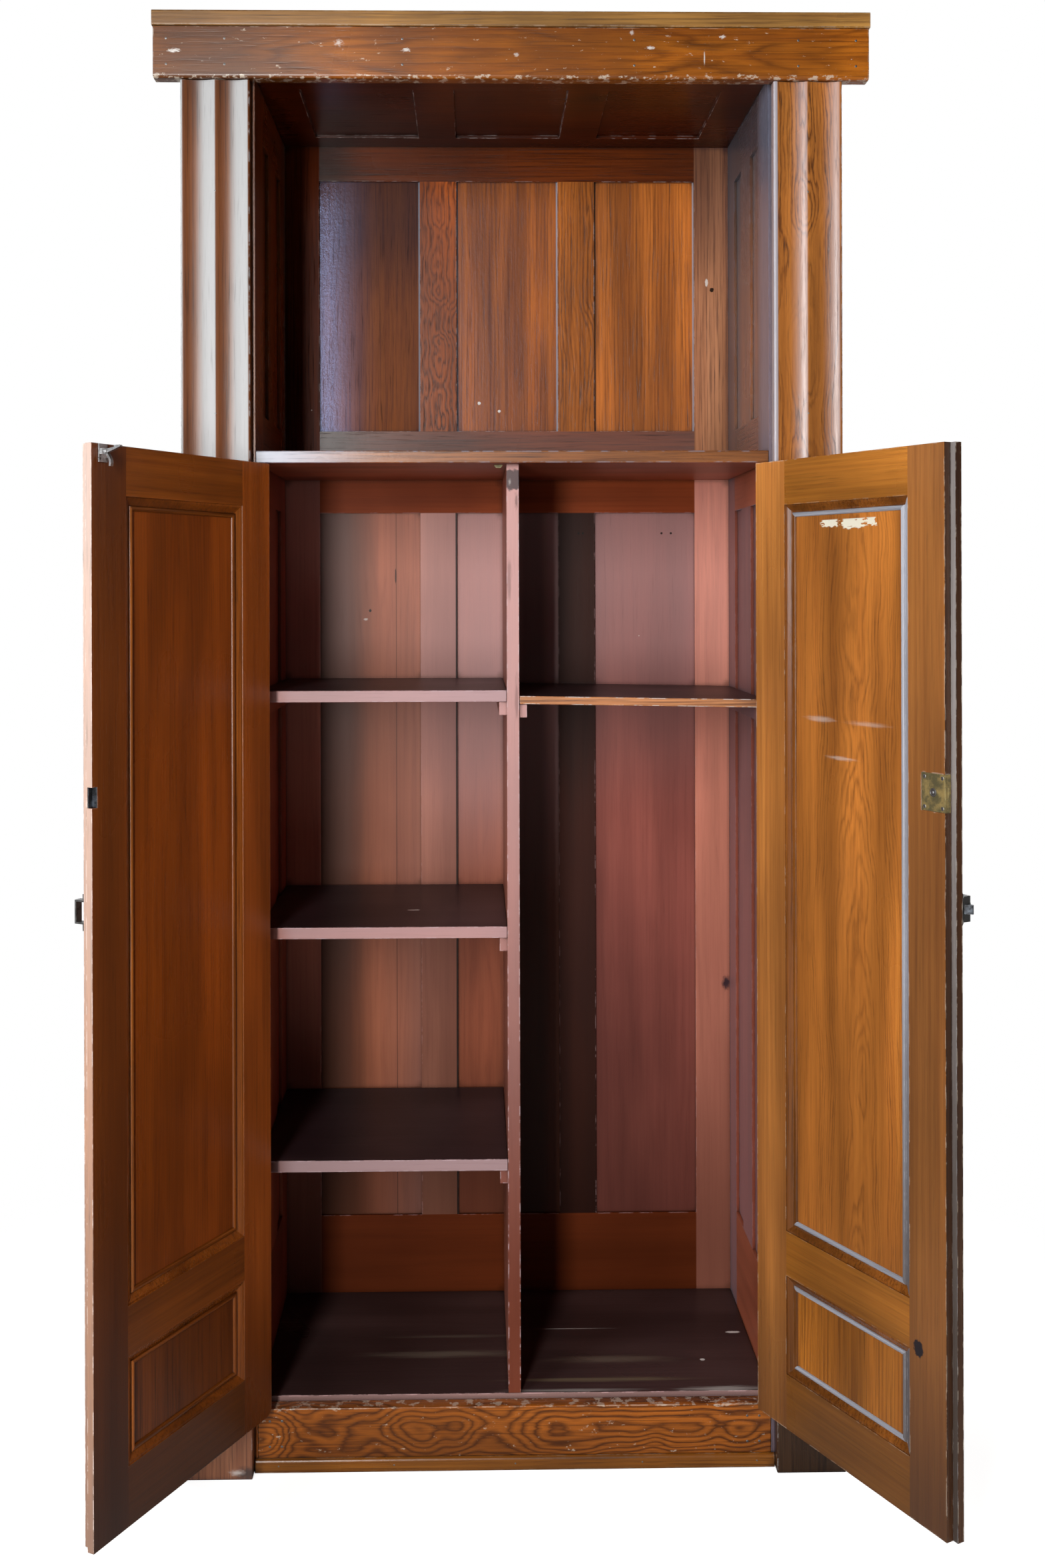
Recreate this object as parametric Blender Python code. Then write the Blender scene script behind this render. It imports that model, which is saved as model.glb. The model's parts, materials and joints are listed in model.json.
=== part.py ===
# Schoolhouse cabinet: an open panelled niche over a two-door cupboard, between fluted casings.
# Metres, +Z up. +X is to the right of someone who faces the cabinet, and +Y runs into it.
# The origin is on the floor, on the centre plane, at mid thickness of the base rail.

import math

import bmesh
import bpy
from mathutils import Vector

# Fits
SEAT = 0.0003               # gap between two pieces that touch
PANEL_ROOM = 0.0015         # room at each edge of a floating panel in its groove
OVERSHOOT = 0.004           # how far a cutter runs past the face that it cuts
BITE = 0.0015               # how far fused shapes run into each other

# Carcass
OPENING_WIDTH = 0.850       # between the faces of the two sides
CASE_DEPTH = 0.412          # from the carcass front to the face of the back
WALL_THICK = 0.020          # side, back and ceiling frames
BOARD_THICK = 0.020         # cupboard floor and niche shelf
DIVIDER_THICK = 0.0205
FLOOR_TOP = 0.111
NICHE_SHELF_TOP = 1.683
CEILING_BOTTOM = 2.301

# Panels of the sides, the back and the ceiling
PANEL_RECESS = 0.0055       # from a frame's face to its panel
PANEL_THICK = 0.008
PANEL_GROOVE = 0.009
MID_RAIL_BELOW = 0.0825     # how far the middle rails reach below the top of the niche shelf
SIDE_FRONT_STILE = 0.098
SIDE_MUNTIN = 0.092
SIDE_BACK_STILE = 0.070
SIDE_TOP_RAIL = 0.083
SIDE_MID_RAIL_ABOVE = 0.068
SIDE_BOTTOM_RAIL = 0.174    # shows above the cupboard floor
BACK_STILE = 0.066
BACK_MUNTIN = 0.070
BACK_CENTRE_PANEL = 0.194
BACK_TOP_RAIL = 0.066
BACK_MID_RAIL_ABOVE = 0.074
BACK_BOTTOM_RAIL = 0.147    # shows above the cupboard floor
CEILING_FRONT_RAIL = 0.070
CEILING_BACK_RAIL = 0.060

# Shelves
SHELF_THICK = 0.0195
SHELF_TOPS = {"upper": 1.285, "middle": 0.890, "lower": 0.501}
SHELF_SET_BACK = 0.002      # behind the divider's front edge
HAT_SHELF_THICK = 0.014
HAT_SHELF_TOP = 1.2755      # at the divider
HAT_SHELF_DROP = 0.0075     # how much lower its right end sits
CLEAT_WIDTH = 0.013
CLEAT_HEIGHT = 0.022
CLEAT_SET_BACK = 0.004
CLEAT_END_ROOM = 0.012

# Base, casings and cornice
BASE_RAIL_HEIGHT = 0.1024
BASE_RAIL_THICK = 0.026
SHOE_HEIGHT = 0.022
SHOE_THICK = 0.006
PLINTH_HEIGHT = 0.102
PLINTH_THICK = 0.025
PLINTH_EASE = 0.002
CASING_WIDTH = 0.114
CASING_THICK = 0.020
CASING_REVEAL = 0.005
CASING_REBATE = 0.002       # how far a casing's flange laps back over the side's outer corner
CASING_BEAD = 0.0055
CASING_EDGE_ROUND = 0.003
FLUTE_DEPTH = 0.0045
FLUTE_RIDGE = 0.003
FRIEZE_BOTTOM = 2.2895
FRIEZE_HEIGHT = 0.0845
FRIEZE_THICK = 0.027
FRIEZE_ROUND = 0.006
CORNICE_WIDTH = 1.1735
CAP_HEIGHT = 0.026
CAP_LIP = 0.002
CAP_DEPTH = 0.060
CAP_ROUND = 0.003

# Doors
DOOR_THICK = 0.024
DOOR_EDGE_ROOM = 0.0015     # between a door's hinge edge and the side
DOOR_FOOT_ROOM = 0.0016     # over the base rail
DOOR_HEAD_ROOM = 0.003      # under the niche shelf
DOOR_BACK_ROOM = 0.0023     # between a closed door and the divider
DOOR_OPEN = math.radians(118.3)
MEETING_GAP = 0.002
MEETING_LIP = 0.008         # how far the right door's lip reaches past the centre plane
REBATE_ROOM = 0.0006
STILE = 0.073
TOP_RAIL = 0.072
MID_RAIL = 0.072
MID_RAIL_BOTTOM = 0.350
BOTTOM_RAIL = 0.088
STICKING_WIDTH = 0.014
STICKING_QUIRK = 0.0012
DOOR_RECESS = 0.0072        # from a door's face to its panel, on both faces
DOOR_GROOVE = 0.010
WORN_CORNER = 0.014         # rounding of the left door's foot at its hinge edge

# Butt hinges
HINGE_HEIGHT = 0.076
HINGE_INSET = 0.200         # from a door's end to a hinge's centre
LEAF_WIDTH = 0.019
LEAF_THICK = 0.002
KNUCKLES = 5
KNUCKLE_RADIUS = 0.004
KNUCKLE_GAP = 0.0004
PIN_RADIUS = 0.002
PIN_ROOM = 0.0003
PIN_PROUD = 0.0045          # from the pin's axis to a closed door's outer face

# Surface latch on the right door, with its keeper on the left one
LATCH_HEIGHT = 0.998        # of the bolt's centre line above the floor
LATCH_CASE_WIDTH = 0.048
LATCH_CASE_HEIGHT = 0.037
LATCH_CASE_DEPTH = 0.018
LATCH_CASE_CHAMFER = 0.003
LATCH_FLANGE_HEIGHT = 0.060
LATCH_FLANGE_THICK = 0.003
LATCH_FLANGE_ROUND = 0.016
LATCH_BOLT_HEIGHT = 0.0135
LATCH_BOLT_THICK = 0.010
LATCH_BOLT_THROW = 0.008
LATCH_BOLT_TAIL = 0.014
LATCH_BOLT_BLUNT = 0.002
LATCH_SLOT_ROOM = 0.0004
KNOB_RADIUS = 0.009
KNOB_REACH = 0.018
KNOB_NECK = 0.0042
KNOB_COLLAR = 0.0063
KNOB_SWELL = 0.0055         # half the length of the knob's grip
KNOB_STUB = 0.003
KEEPER_HEIGHT = 0.034
KEEPER_WIDTH = 0.012
KEEPER_WALL = 0.0025
KEEPER_FLANGE = 0.009
KEEPER_ROOM = 0.001
KEEPER_EDGE = 0.001

# Lock let into the right door, with its strike in the left one
LOCK_HEIGHT = 1.162
LOCK_WIDTH = 0.046
LOCK_TALL = 0.054
LOCK_DEPTH = 0.011
LOCK_BOLT_TALL = 0.016
LOCK_BOLT_THICK = 0.0054
LOCK_BOLT_LENGTH = 0.024
LOCK_BOLT_COVER = 0.001     # metal between the bolt and the door's inner face
KEYHOLE_WIDTH = 0.006
KEYHOLE_TALL = 0.014
ESCUTCHEON_WIDTH = 0.022
ESCUTCHEON_TALL = 0.038
ESCUTCHEON_THICK = 0.0015
STRIKE_TALL = 0.0285
STRIKE_REACH = 0.0106
STRIKE_PLATE = 0.0012
STRIKE_ROOM = 0.0006

# Elbow catch on the left door, with its strike under the niche shelf
CATCH_EDGE = 0.0225         # from the door's free edge to the lever's centre
CATCH_DROP = 0.011          # from the door's top to the lever's pivot
CATCH_STAND = 0.007         # from the door's inner face to the pivot
CATCH_PLATE_WIDTH = 0.018
CATCH_PLATE_TALL = 0.026
CATCH_PLATE_THICK = 0.0015
CATCH_EAR_THICK = 0.0015
CATCH_EAR_ROUND = 0.0042
CATCH_PIN_RADIUS = 0.0015
LEVER_WIDTH = 0.007
LEVER_ROOM = 0.0004
LEVER_BOSS = 0.004
LEVER_NOSE_START = 0.017    # from the pivot, away from the door
LEVER_NOSE_END = 0.0275
LEVER_NOSE_TOP = 0.0078
LEVER_ARM_THICK = 0.004
TAIL_DROP = 0.0215
TAIL_REACH = 0.0094
TAIL_SWEEP = math.radians(112)   # how far the tail runs along its sine curve
TAIL_THICK = 0.0042
TAIL_TIP = 0.003
CATCH_STRIKE_WIDTH = 0.014
CATCH_STRIKE_TIP = 0.008
CATCH_STRIKE_LENGTH = 0.020
CATCH_STRIKE_DROP = 0.005
CATCH_STRIKE_THICK = 0.0015
CATCH_STRIKE_ROOM = 0.003   # from the strike's lip to the lever's nose

# Facets
ARC_STEPS = 6
FLUTE_STEPS = 10
ROUND_STEPS = 16
STICKING_STEPS = 5

# Planes that follow from the sizes above
half_open = OPENING_WIDTH / 2
front_y = -BASE_RAIL_THICK / 2
back_y = front_y + CASE_DEPTH
case_top = FRIEZE_BOTTOM + FRIEZE_HEIGHT
niche_shelf_bottom = NICHE_SHELF_TOP - BOARD_THICK
door_bottom = BASE_RAIL_HEIGHT + DOOR_FOOT_ROOM
door_top = niche_shelf_bottom - DOOR_HEAD_ROOM
inner_front_y = front_y + DOOR_THICK + DOOR_BACK_ROOM
shelf_front_y = inner_front_y + SHELF_SET_BACK
half_divider = DIVIDER_THICK / 2

# A door's own frame: the pin's axis is at 0, along is from it to the free edge, deep is into the cabinet
pin_x = half_open - DOOR_EDGE_ROOM / 2
pin_y = front_y - PIN_PROUD
hinge_edge = DOOR_EDGE_ROOM / 2
free_edge = pin_x - MEETING_GAP / 2
tongue_edge = pin_x - MEETING_LIP - MEETING_GAP
lip_edge = pin_x + MEETING_LIP
outer_face = PIN_PROUD
inner_face = PIN_PROUD + DOOR_THICK
rebate_face = PIN_PROUD + DOOR_THICK / 2
hinge_heights = {"upper": door_top - HINGE_INSET, "lower": door_bottom + HINGE_INSET}


def clear_scene():
    for obj in list(bpy.data.objects):
        bpy.data.objects.remove(obj, do_unlink=True)


def make_material(name, colour, roughness, metallic=0.0):
    material = bpy.data.materials.new(name)
    material.use_nodes = True
    shader = material.node_tree.nodes["Principled BSDF"]
    shader.inputs["Base Color"].default_value = (*colour, 1.0)
    shader.inputs["Roughness"].default_value = roughness
    shader.inputs["Metallic"].default_value = metallic
    return material


def add_object(name, bm, material=None, parent=None, origin=None):
    # Without a given origin, an object's origin is the middle of its bounds
    bmesh.ops.recalc_face_normals(bm, faces=bm.faces)
    if origin is None:
        lows = [min(vert.co[axis] for vert in bm.verts) for axis in range(3)]
        highs = [max(vert.co[axis] for vert in bm.verts) for axis in range(3)]
        origin = (Vector(lows) + Vector(highs)) / 2
    bmesh.ops.translate(bm, verts=bm.verts, vec=-Vector(origin))
    mesh = bpy.data.meshes.new(name)
    bm.to_mesh(mesh)
    bm.free()
    obj = bpy.data.objects.new(name, mesh)
    bpy.context.scene.collection.objects.link(obj)
    obj.location = origin
    obj.parent = parent
    if material:
        mesh.materials.append(material)
    return obj


def shade_round(obj):
    obj.data.shade_smooth()
    obj.data.set_sharp_from_angle(angle=math.radians(40))


def add_boolean(obj, helper, operation="DIFFERENCE"):
    helper.hide_render = True
    helper.display_type = "WIRE"
    modifier = obj.modifiers.new(helper.name, "BOOLEAN")
    modifier.operation = operation
    modifier.solver = "EXACT"
    modifier.object = helper


# Shapes drawn into a bmesh

def draw_box(bm, x, y, z):
    spans = [sorted(span) for span in (x, y, z)]
    for vert in bmesh.ops.create_cube(bm, size=1.0)["verts"]:
        vert.co = [span[0] if value < 0 else span[1] for span, value in zip(spans, vert.co)]


def draw_prism(bm, outline, place, start, end):
    # A closed outline of (a, b) points, run from depth start to depth end
    loops = [[bm.verts.new(place(a, b, depth)) for a, b in outline] for depth in (start, end)]
    bm.faces.new(loops[0])
    bm.faces.new(loops[1])
    count = len(outline)
    for i in range(count):
        j = (i + 1) % count
        bm.faces.new((loops[0][i], loops[0][j], loops[1][j], loops[1][i]))


def draw_window(bm, a, b, rings, place):
    # A rectangle of spans a and b, grown at each (grow, depth) ring and lofted through them
    loops = []
    for grow, depth in rings:
        low_a, high_a = a[0] - grow, a[1] + grow
        low_b, high_b = b[0] - grow, b[1] + grow
        corners = ((low_a, low_b), (high_a, low_b), (high_a, high_b), (low_a, high_b))
        loops.append([bm.verts.new(place(*corner, depth)) for corner in corners])
    for near, far in zip(loops, loops[1:]):
        for i in range(4):
            j = (i + 1) % 4
            bm.faces.new((near[i], near[j], far[j], far[i]))
    bm.faces.new(loops[0])
    bm.faces.new(loops[-1])


def draw_turning(bm, profile, place, steps=ROUND_STEPS):
    # A profile of (radius, depth) points turned about the depth axis, closed by its two end discs
    rings = []
    for radius, depth in profile:
        angles = [math.tau * step / steps for step in range(steps)]
        points = [(radius * math.cos(angle), radius * math.sin(angle)) for angle in angles]
        rings.append([bm.verts.new(place(a, b, depth)) for a, b in points])
    for near, far in zip(rings, rings[1:]):
        for i in range(steps):
            j = (i + 1) % steps
            bm.faces.new((near[i], near[j], far[j], far[i]))
    bm.faces.new(rings[0])
    bm.faces.new(rings[-1])


def draw_cylinder(bm, radius, place, start, end, steps=ROUND_STEPS):
    draw_turning(bm, ((radius, start), (radius, end)), place, steps)


def arc_points(centre, radius, start, end, steps=ARC_STEPS):
    angles = [math.radians(start + (end - start) * step / steps) for step in range(steps + 1)]
    a, b = centre
    return [(a + radius * math.cos(angle), b + radius * math.sin(angle)) for angle in angles]


def rounded_outline(width, height, radius):
    a, b = width / 2 - radius, height / 2 - radius
    corners = (((a, b), 0), ((-a, b), 90), ((-a, -b), 180), ((a, -b), 270))
    points = []
    for centre, start in corners:
        points += arc_points(centre, radius, start, start + 90)
    return points


def make_box(name, x, y, z, material=None, parent=None):
    bm = bmesh.new()
    draw_box(bm, x, y, z)
    return add_object(name, bm, material, parent)


def make_boxes(name, boxes, parent=None):
    bm = bmesh.new()
    for x, y, z in boxes:
        draw_box(bm, x, y, z)
    return add_object(name, bm, parent=parent)


# Rings of the cutters that open a frame for its panels

def square_rings():
    bed = PANEL_RECESS + PANEL_THICK + 2 * SEAT
    return [
        (0, -OVERSHOOT),
        (0, PANEL_RECESS),
        (PANEL_GROOVE, PANEL_RECESS),
        (PANEL_GROOVE, bed),
        (0, bed),
        (0, WALL_THICK + OVERSHOOT),
    ]


def moulded_rings():
    # The same ogee runs round both faces of a door, with the panel's groove between
    half = [(0, -OVERSHOOT), (0, STICKING_QUIRK)]
    for step in range(1, STICKING_STEPS + 1):
        share = step / STICKING_STEPS
        fall = (1 - math.cos(math.pi * share)) / 2
        half.append((-STICKING_WIDTH * share, STICKING_QUIRK + (DOOR_RECESS - STICKING_QUIRK) * fall))
    half.append((DOOR_GROOVE - STICKING_WIDTH, DOOR_RECESS))
    return half + [(grow, DOOR_THICK - depth) for grow, depth in reversed(half)]


def make_panel(name, a, b, grow, near, far, place, material, parent=None):
    # A board that fills a groove's reach round the window a by b, less the room that it floats in
    reach = grow - PANEL_ROOM
    bm = bmesh.new()
    draw_window(bm, a, b, ((reach, near), (reach, far)), place)
    return add_object(name, bm, material, parent)


# Carcass

def make_walls(oak, red):
    pane = (CASE_DEPTH - SIDE_FRONT_STILE - SIDE_MUNTIN - SIDE_BACK_STILE) / 2
    side_spans = {
        "front": (SIDE_FRONT_STILE, SIDE_FRONT_STILE + pane),
        "rear": (CASE_DEPTH - SIDE_BACK_STILE - pane, CASE_DEPTH - SIDE_BACK_STILE),
    }
    mid_rail_bottom = NICHE_SHELF_TOP - MID_RAIL_BELOW
    side_rises = {
        "niche": (NICHE_SHELF_TOP + SIDE_MID_RAIL_ABOVE, CEILING_BOTTOM - SIDE_TOP_RAIL),
        "cupboard": (FLOOR_TOP + SIDE_BOTTOM_RAIL, mid_rail_bottom),
    }
    for side, sign in (("left", -1), ("right", 1)):
        def on_side(a, b, depth, sign=sign):
            return (sign * (half_open + depth), front_y + a, b)
        depth = (0, CASE_DEPTH + WALL_THICK)
        make_frame(f"{side}_side_frame", depth, side_spans, side_rises, on_side, oak, red)
        cut_hinge_beds(side, sign)
        nail_cleats(side, sign)

    centre = BACK_CENTRE_PANEL / 2
    outer = half_open - BACK_STILE
    back_spans = {
        "left": (-outer, -centre - BACK_MUNTIN),
        "centre": (-centre, centre),
        "right": (centre + BACK_MUNTIN, outer),
    }
    back_rises = {
        "niche": (NICHE_SHELF_TOP + BACK_MID_RAIL_ABOVE, CEILING_BOTTOM - BACK_TOP_RAIL),
        "cupboard": (FLOOR_TOP + BACK_BOTTOM_RAIL, mid_rail_bottom),
    }

    def on_back(a, b, depth):
        return (a, back_y + depth, b)
    width = (SEAT - half_open, half_open - SEAT)
    make_frame("back_frame", width, back_spans, back_rises, on_back, oak, red)
    make_ceiling(back_spans, oak)


def make_frame(name, width, spans, rises, place, oak, red):
    bm = bmesh.new()
    draw_window(bm, width, (0, case_top), ((0, 0), (0, WALL_THICK)), place)
    frame = add_object(name, bm, oak)
    bm = bmesh.new()
    for rise in rises.values():
        for span in spans.values():
            draw_window(bm, span, rise, square_rings(), place)
    add_boolean(frame, add_object(f"{name}_windows", bm))
    near = PANEL_RECESS + SEAT
    for row, rise in rises.items():
        for column, span in spans.items():
            panel = name.replace("frame", f"{row}_{column}_panel")
            finish = oak if row == "niche" else red
            make_panel(panel, span, rise, PANEL_GROOVE, near, near + PANEL_THICK, place, finish)


def make_ceiling(spans, oak):
    depth = (front_y + SEAT, back_y - SEAT)
    rise = (CEILING_BOTTOM, CEILING_BOTTOM + WALL_THICK)
    ceiling = make_box("niche_ceiling", (SEAT - half_open, half_open - SEAT), depth, rise, oak)
    bm = bmesh.new()
    field = (front_y + CEILING_FRONT_RAIL, back_y - CEILING_BACK_RAIL)

    def on_ceiling(a, b, up):
        return (a, b, CEILING_BOTTOM + up)
    for span in spans.values():
        draw_window(bm, span, field, ((0, -OVERSHOOT), (0, PANEL_RECESS)), on_ceiling)
    add_boolean(ceiling, add_object("niche_ceiling_fields", bm))


def cut_hinge_beds(side, sign):
    # The jamb leaves lie flush in the front stiles
    near = sign * (half_open - OVERSHOOT)
    far = sign * (half_open + LEAF_THICK + SEAT)
    depth = (front_y - OVERSHOOT, front_y + LEAF_WIDTH + SEAT)
    reach = HINGE_HEIGHT / 2 + SEAT
    beds = [((near, far), depth, (z - reach, z + reach)) for z in hinge_heights.values()]
    add_boolean(bpy.data.objects[f"{side}_side_frame"], make_boxes(f"{side}_hinge_beds", beds))


def cleat_box(face, sign, top):
    # A cleat on a wall whose face is at this x and looks along sign
    depth = (shelf_front_y + CLEAT_SET_BACK, back_y - CLEAT_END_ROOM)
    return ((face - sign * BITE, face + sign * CLEAT_WIDTH), depth, (top - CLEAT_HEIGHT, top))


def cleat_tops():
    # The hat shelf slopes, so its two cleats sit at unlike heights
    left = [top - SHELF_THICK - SEAT for top in SHELF_TOPS.values()]
    at_divider = HAT_SHELF_TOP - HAT_SHELF_THICK - SEAT
    slope = HAT_SHELF_DROP / (half_open - half_divider)
    low = at_divider - slope * CLEAT_WIDTH
    return {"left": left, "divider": low, "right": at_divider - HAT_SHELF_DROP - SEAT}


def nail_cleats(side, sign):
    tops = cleat_tops()["left"] if side == "left" else [cleat_tops()["right"]]
    cleats = [cleat_box(sign * half_open, -sign, top) for top in tops]
    helper = make_boxes(f"{side}_side_cleats", cleats)
    add_boolean(bpy.data.objects[f"{side}_side_frame"], helper, "UNION")


def make_boards(oak, red):
    width = (SEAT - half_open, half_open - SEAT)
    rear = back_y - SEAT
    floor_rise = (FLOOR_TOP - BOARD_THICK, FLOOR_TOP)
    make_box("cupboard_floor", width, (-front_y + SEAT, rear), floor_rise, red)
    make_box("niche_shelf", width, (front_y, rear), (niche_shelf_bottom, NICHE_SHELF_TOP), oak)

    rise = (FLOOR_TOP + SEAT, niche_shelf_bottom - SEAT)
    divider = make_box("divider", (-half_divider, half_divider), (inner_front_y, rear), rise, red)
    cleats = [cleat_box(-half_divider, -1, top) for top in cleat_tops()["left"]]
    cleats.append(cleat_box(half_divider, 1, cleat_tops()["divider"]))
    add_boolean(divider, make_boxes("divider_cleats", cleats), "UNION")

    for place, top in SHELF_TOPS.items():
        span = (SEAT - half_open, -half_divider - SEAT)
        make_box(f"{place}_shelf", span, (shelf_front_y, rear), (top - SHELF_THICK, top), red)

    bm = bmesh.new()
    start, end = half_divider + SEAT, half_open - SEAT
    corners = (
        (start, HAT_SHELF_TOP - HAT_SHELF_THICK),
        (end, HAT_SHELF_TOP - HAT_SHELF_THICK - HAT_SHELF_DROP),
        (end, HAT_SHELF_TOP - HAT_SHELF_DROP),
        (start, HAT_SHELF_TOP),
    )
    draw_prism(bm, corners, lambda a, b, depth: (a, depth, b), shelf_front_y, rear)
    add_object("hat_shelf", bm, red)


# Base, casings and cornice

def make_base(oak, red):
    width = (SEAT - half_open, half_open - SEAT)
    make_box("base_rail", width, (front_y, -front_y), (0, BASE_RAIL_HEIGHT), oak)

    inner = half_open + CASING_REVEAL
    face = front_y - SEAT - SHOE_THICK
    outline = [(front_y - SEAT, 0), (front_y - SEAT, SHOE_HEIGHT)]
    outline += arc_points((face + SHOE_THICK, SHOE_HEIGHT - SHOE_THICK), SHOE_THICK, 90, 180)[1:]
    outline.append((face, 0))
    bm = bmesh.new()
    draw_prism(bm, outline, lambda a, b, x: (x, a, b), SEAT - inner, inner - SEAT)
    add_object("base_shoe", bm, oak)

    for side, sign in (("left", -1), ("right", 1)):
        span = (sign * inner, sign * (inner + CASING_WIDTH))
        depth = (front_y - SEAT - PLINTH_THICK, front_y - SEAT)
        block = make_box(f"{side}_plinth_block", span, depth, (0, PLINTH_HEIGHT), red)
        bevel = block.modifiers.new("ease", "BEVEL")
        bevel.width = PLINTH_EASE
        bevel.segments = 2


def casing_outline():
    # Across the casing from its inner edge, with depth measured back from its face
    flute = (CASING_WIDTH - 2 * CASING_BEAD - FLUTE_RIDGE) / 2
    radius = (flute ** 2 / 4 + FLUTE_DEPTH ** 2) / (2 * FLUTE_DEPTH)
    ease = CASING_EDGE_ROUND
    lap = WALL_THICK - CASING_REVEAL + SEAT
    flange_back = CASING_THICK + CASING_REBATE
    points = [(lap, flange_back), (lap, CASING_THICK), (0, CASING_THICK)]
    points += arc_points((ease, ease), ease, 180, 270, 3)
    for start in (CASING_BEAD, CASING_BEAD + flute + FLUTE_RIDGE):
        for step in range(FLUTE_STEPS + 1):
            across = flute * (step / FLUTE_STEPS - 0.5)
            depth = math.sqrt(radius ** 2 - across ** 2) - (radius - FLUTE_DEPTH)
            points.append((start + flute / 2 + across, depth))
    points += arc_points((CASING_WIDTH - ease, ease), ease, 270, 360, 3)
    points.append((CASING_WIDTH, flange_back))
    return points


def make_casings(oak):
    inner = half_open + CASING_REVEAL
    face = front_y - SEAT - CASING_THICK
    for side, sign in (("left", -1), ("right", 1)):
        def across(a, b, z, sign=sign):
            return (sign * (inner + a), face + b, z)
        bm = bmesh.new()
        draw_prism(bm, casing_outline(), across, PLINTH_HEIGHT + SEAT, FRIEZE_BOTTOM - SEAT)
        shade_round(add_object(f"{side}_casing", bm, oak))


def make_cornice(oak):
    half = CORNICE_WIDTH / 2

    def along(a, b, x):
        return (x, a, b)
    back = front_y - SEAT
    face = back - FRIEZE_THICK
    outline = [(back, FRIEZE_BOTTOM), (back, case_top), (face, case_top)]
    outline += arc_points((face + FRIEZE_ROUND, FRIEZE_BOTTOM + FRIEZE_ROUND), FRIEZE_ROUND, 180, 270)
    bm = bmesh.new()
    draw_prism(bm, outline, along, -half, half)
    add_object("frieze_board", bm, oak)

    low = case_top + SEAT
    high = low + CAP_HEIGHT
    front = face - CAP_LIP
    outline = [(front + CAP_DEPTH, low), (front + CAP_DEPTH, high)]
    outline += arc_points((front + CAP_ROUND, high - CAP_ROUND), CAP_ROUND, 90, 180, 3)
    outline += arc_points((front + CAP_ROUND, low + CAP_ROUND), CAP_ROUND, 180, 270, 3)
    bm = bmesh.new()
    draw_prism(bm, outline, along, -half - CAP_LIP, half + CAP_LIP)
    add_object("cornice_cap", bm, oak)


# Doors

def make_door(side, hand, oak):
    # hand is 1 for the left door, whose free edge lies towards +X when it is closed
    pivot = bpy.data.objects.new(f"{side}_door_pivot", None)
    bpy.context.scene.collection.objects.link(pivot)
    pivot.location = (-hand * pin_x, pin_y, 0)
    pivot.rotation_euler.z = -hand * DOOR_OPEN

    def on_door(along, z, deep):
        return (hand * along, outer_face + deep, z)
    far_edge = free_edge if side == "left" else lip_edge
    bm = bmesh.new()
    draw_window(bm, (hinge_edge, far_edge), (door_bottom, door_top), ((0, 0), (0, DOOR_THICK)), on_door)
    frame = add_object(f"{side}_door_frame", bm, oak, pivot)

    span = (hinge_edge + STILE, free_edge - STILE)
    rises = {
        "upper": (MID_RAIL_BOTTOM + MID_RAIL, door_top - TOP_RAIL),
        "lower": (door_bottom + BOTTOM_RAIL, MID_RAIL_BOTTOM),
    }
    bm = bmesh.new()
    for rise in rises.values():
        draw_window(bm, span, rise, moulded_rings(), on_door)
    add_boolean(frame, add_object(f"{side}_door_windows", bm, parent=pivot))
    grow = DOOR_GROOVE - STICKING_WIDTH
    for row, rise in rises.items():
        near, far = DOOR_RECESS + SEAT, DOOR_THICK - DOOR_RECESS - SEAT
        make_panel(f"{side}_door_{row}_panel", span, rise, grow, near, far, on_door, oak, pivot)

    rise = (door_bottom - OVERSHOOT, door_top + OVERSHOOT)
    if side == "left":
        along = (tongue_edge, free_edge + OVERSHOOT)
        deep = (outer_face - OVERSHOOT, rebate_face + REBATE_ROOM / 2)
    else:
        along = (free_edge, lip_edge + OVERSHOOT)
        deep = (rebate_face - REBATE_ROOM / 2, inner_face + OVERSHOOT)
    rebate = make_box(f"{side}_door_rebate", [hand * edge for edge in along], deep, rise, parent=pivot)
    add_boolean(frame, rebate)

    along = (hand * (hinge_edge - OVERSHOOT), hand * (hinge_edge + LEAF_THICK + SEAT))
    deep = (outer_face - OVERSHOOT, outer_face + LEAF_WIDTH + SEAT)
    reach = HINGE_HEIGHT / 2 + SEAT
    beds = [(along, deep, (z - reach, z + reach)) for z in hinge_heights.values()]
    add_boolean(frame, make_boxes(f"{side}_door_hinge_beds", beds, pivot))
    return pivot, frame


def wear_foot(pivot, frame):
    # The left door's foot is worn round at its hinge edge
    centre = (hinge_edge + WORN_CORNER, door_bottom + WORN_CORNER)
    corner = (hinge_edge - OVERSHOOT, door_bottom - OVERSHOOT)
    outline = [(corner[0], centre[1])]
    outline += arc_points(centre, WORN_CORNER, 180, 270)
    outline += [(centre[0], corner[1]), corner]
    bm = bmesh.new()
    start, end = outer_face - OVERSHOOT, inner_face + OVERSHOOT
    draw_prism(bm, outline, lambda a, b, deep: (a, deep, b), start, end)
    add_boolean(frame, add_object("left_door_wear", bm, parent=pivot))


# Butt hinges

def knuckle_spans(z, fixed):
    # The jamb leaf holds the even knuckles and the door leaf the odd ones
    pitch = HINGE_HEIGHT / KNUCKLES
    bottom = z - HINGE_HEIGHT / 2
    spans = []
    for index in range(KNUCKLES):
        if (index % 2 == 0) == fixed:
            low = bottom + index * pitch + KNUCKLE_GAP / 2
            spans.append((low, low + pitch - KNUCKLE_GAP))
    return spans


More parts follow.
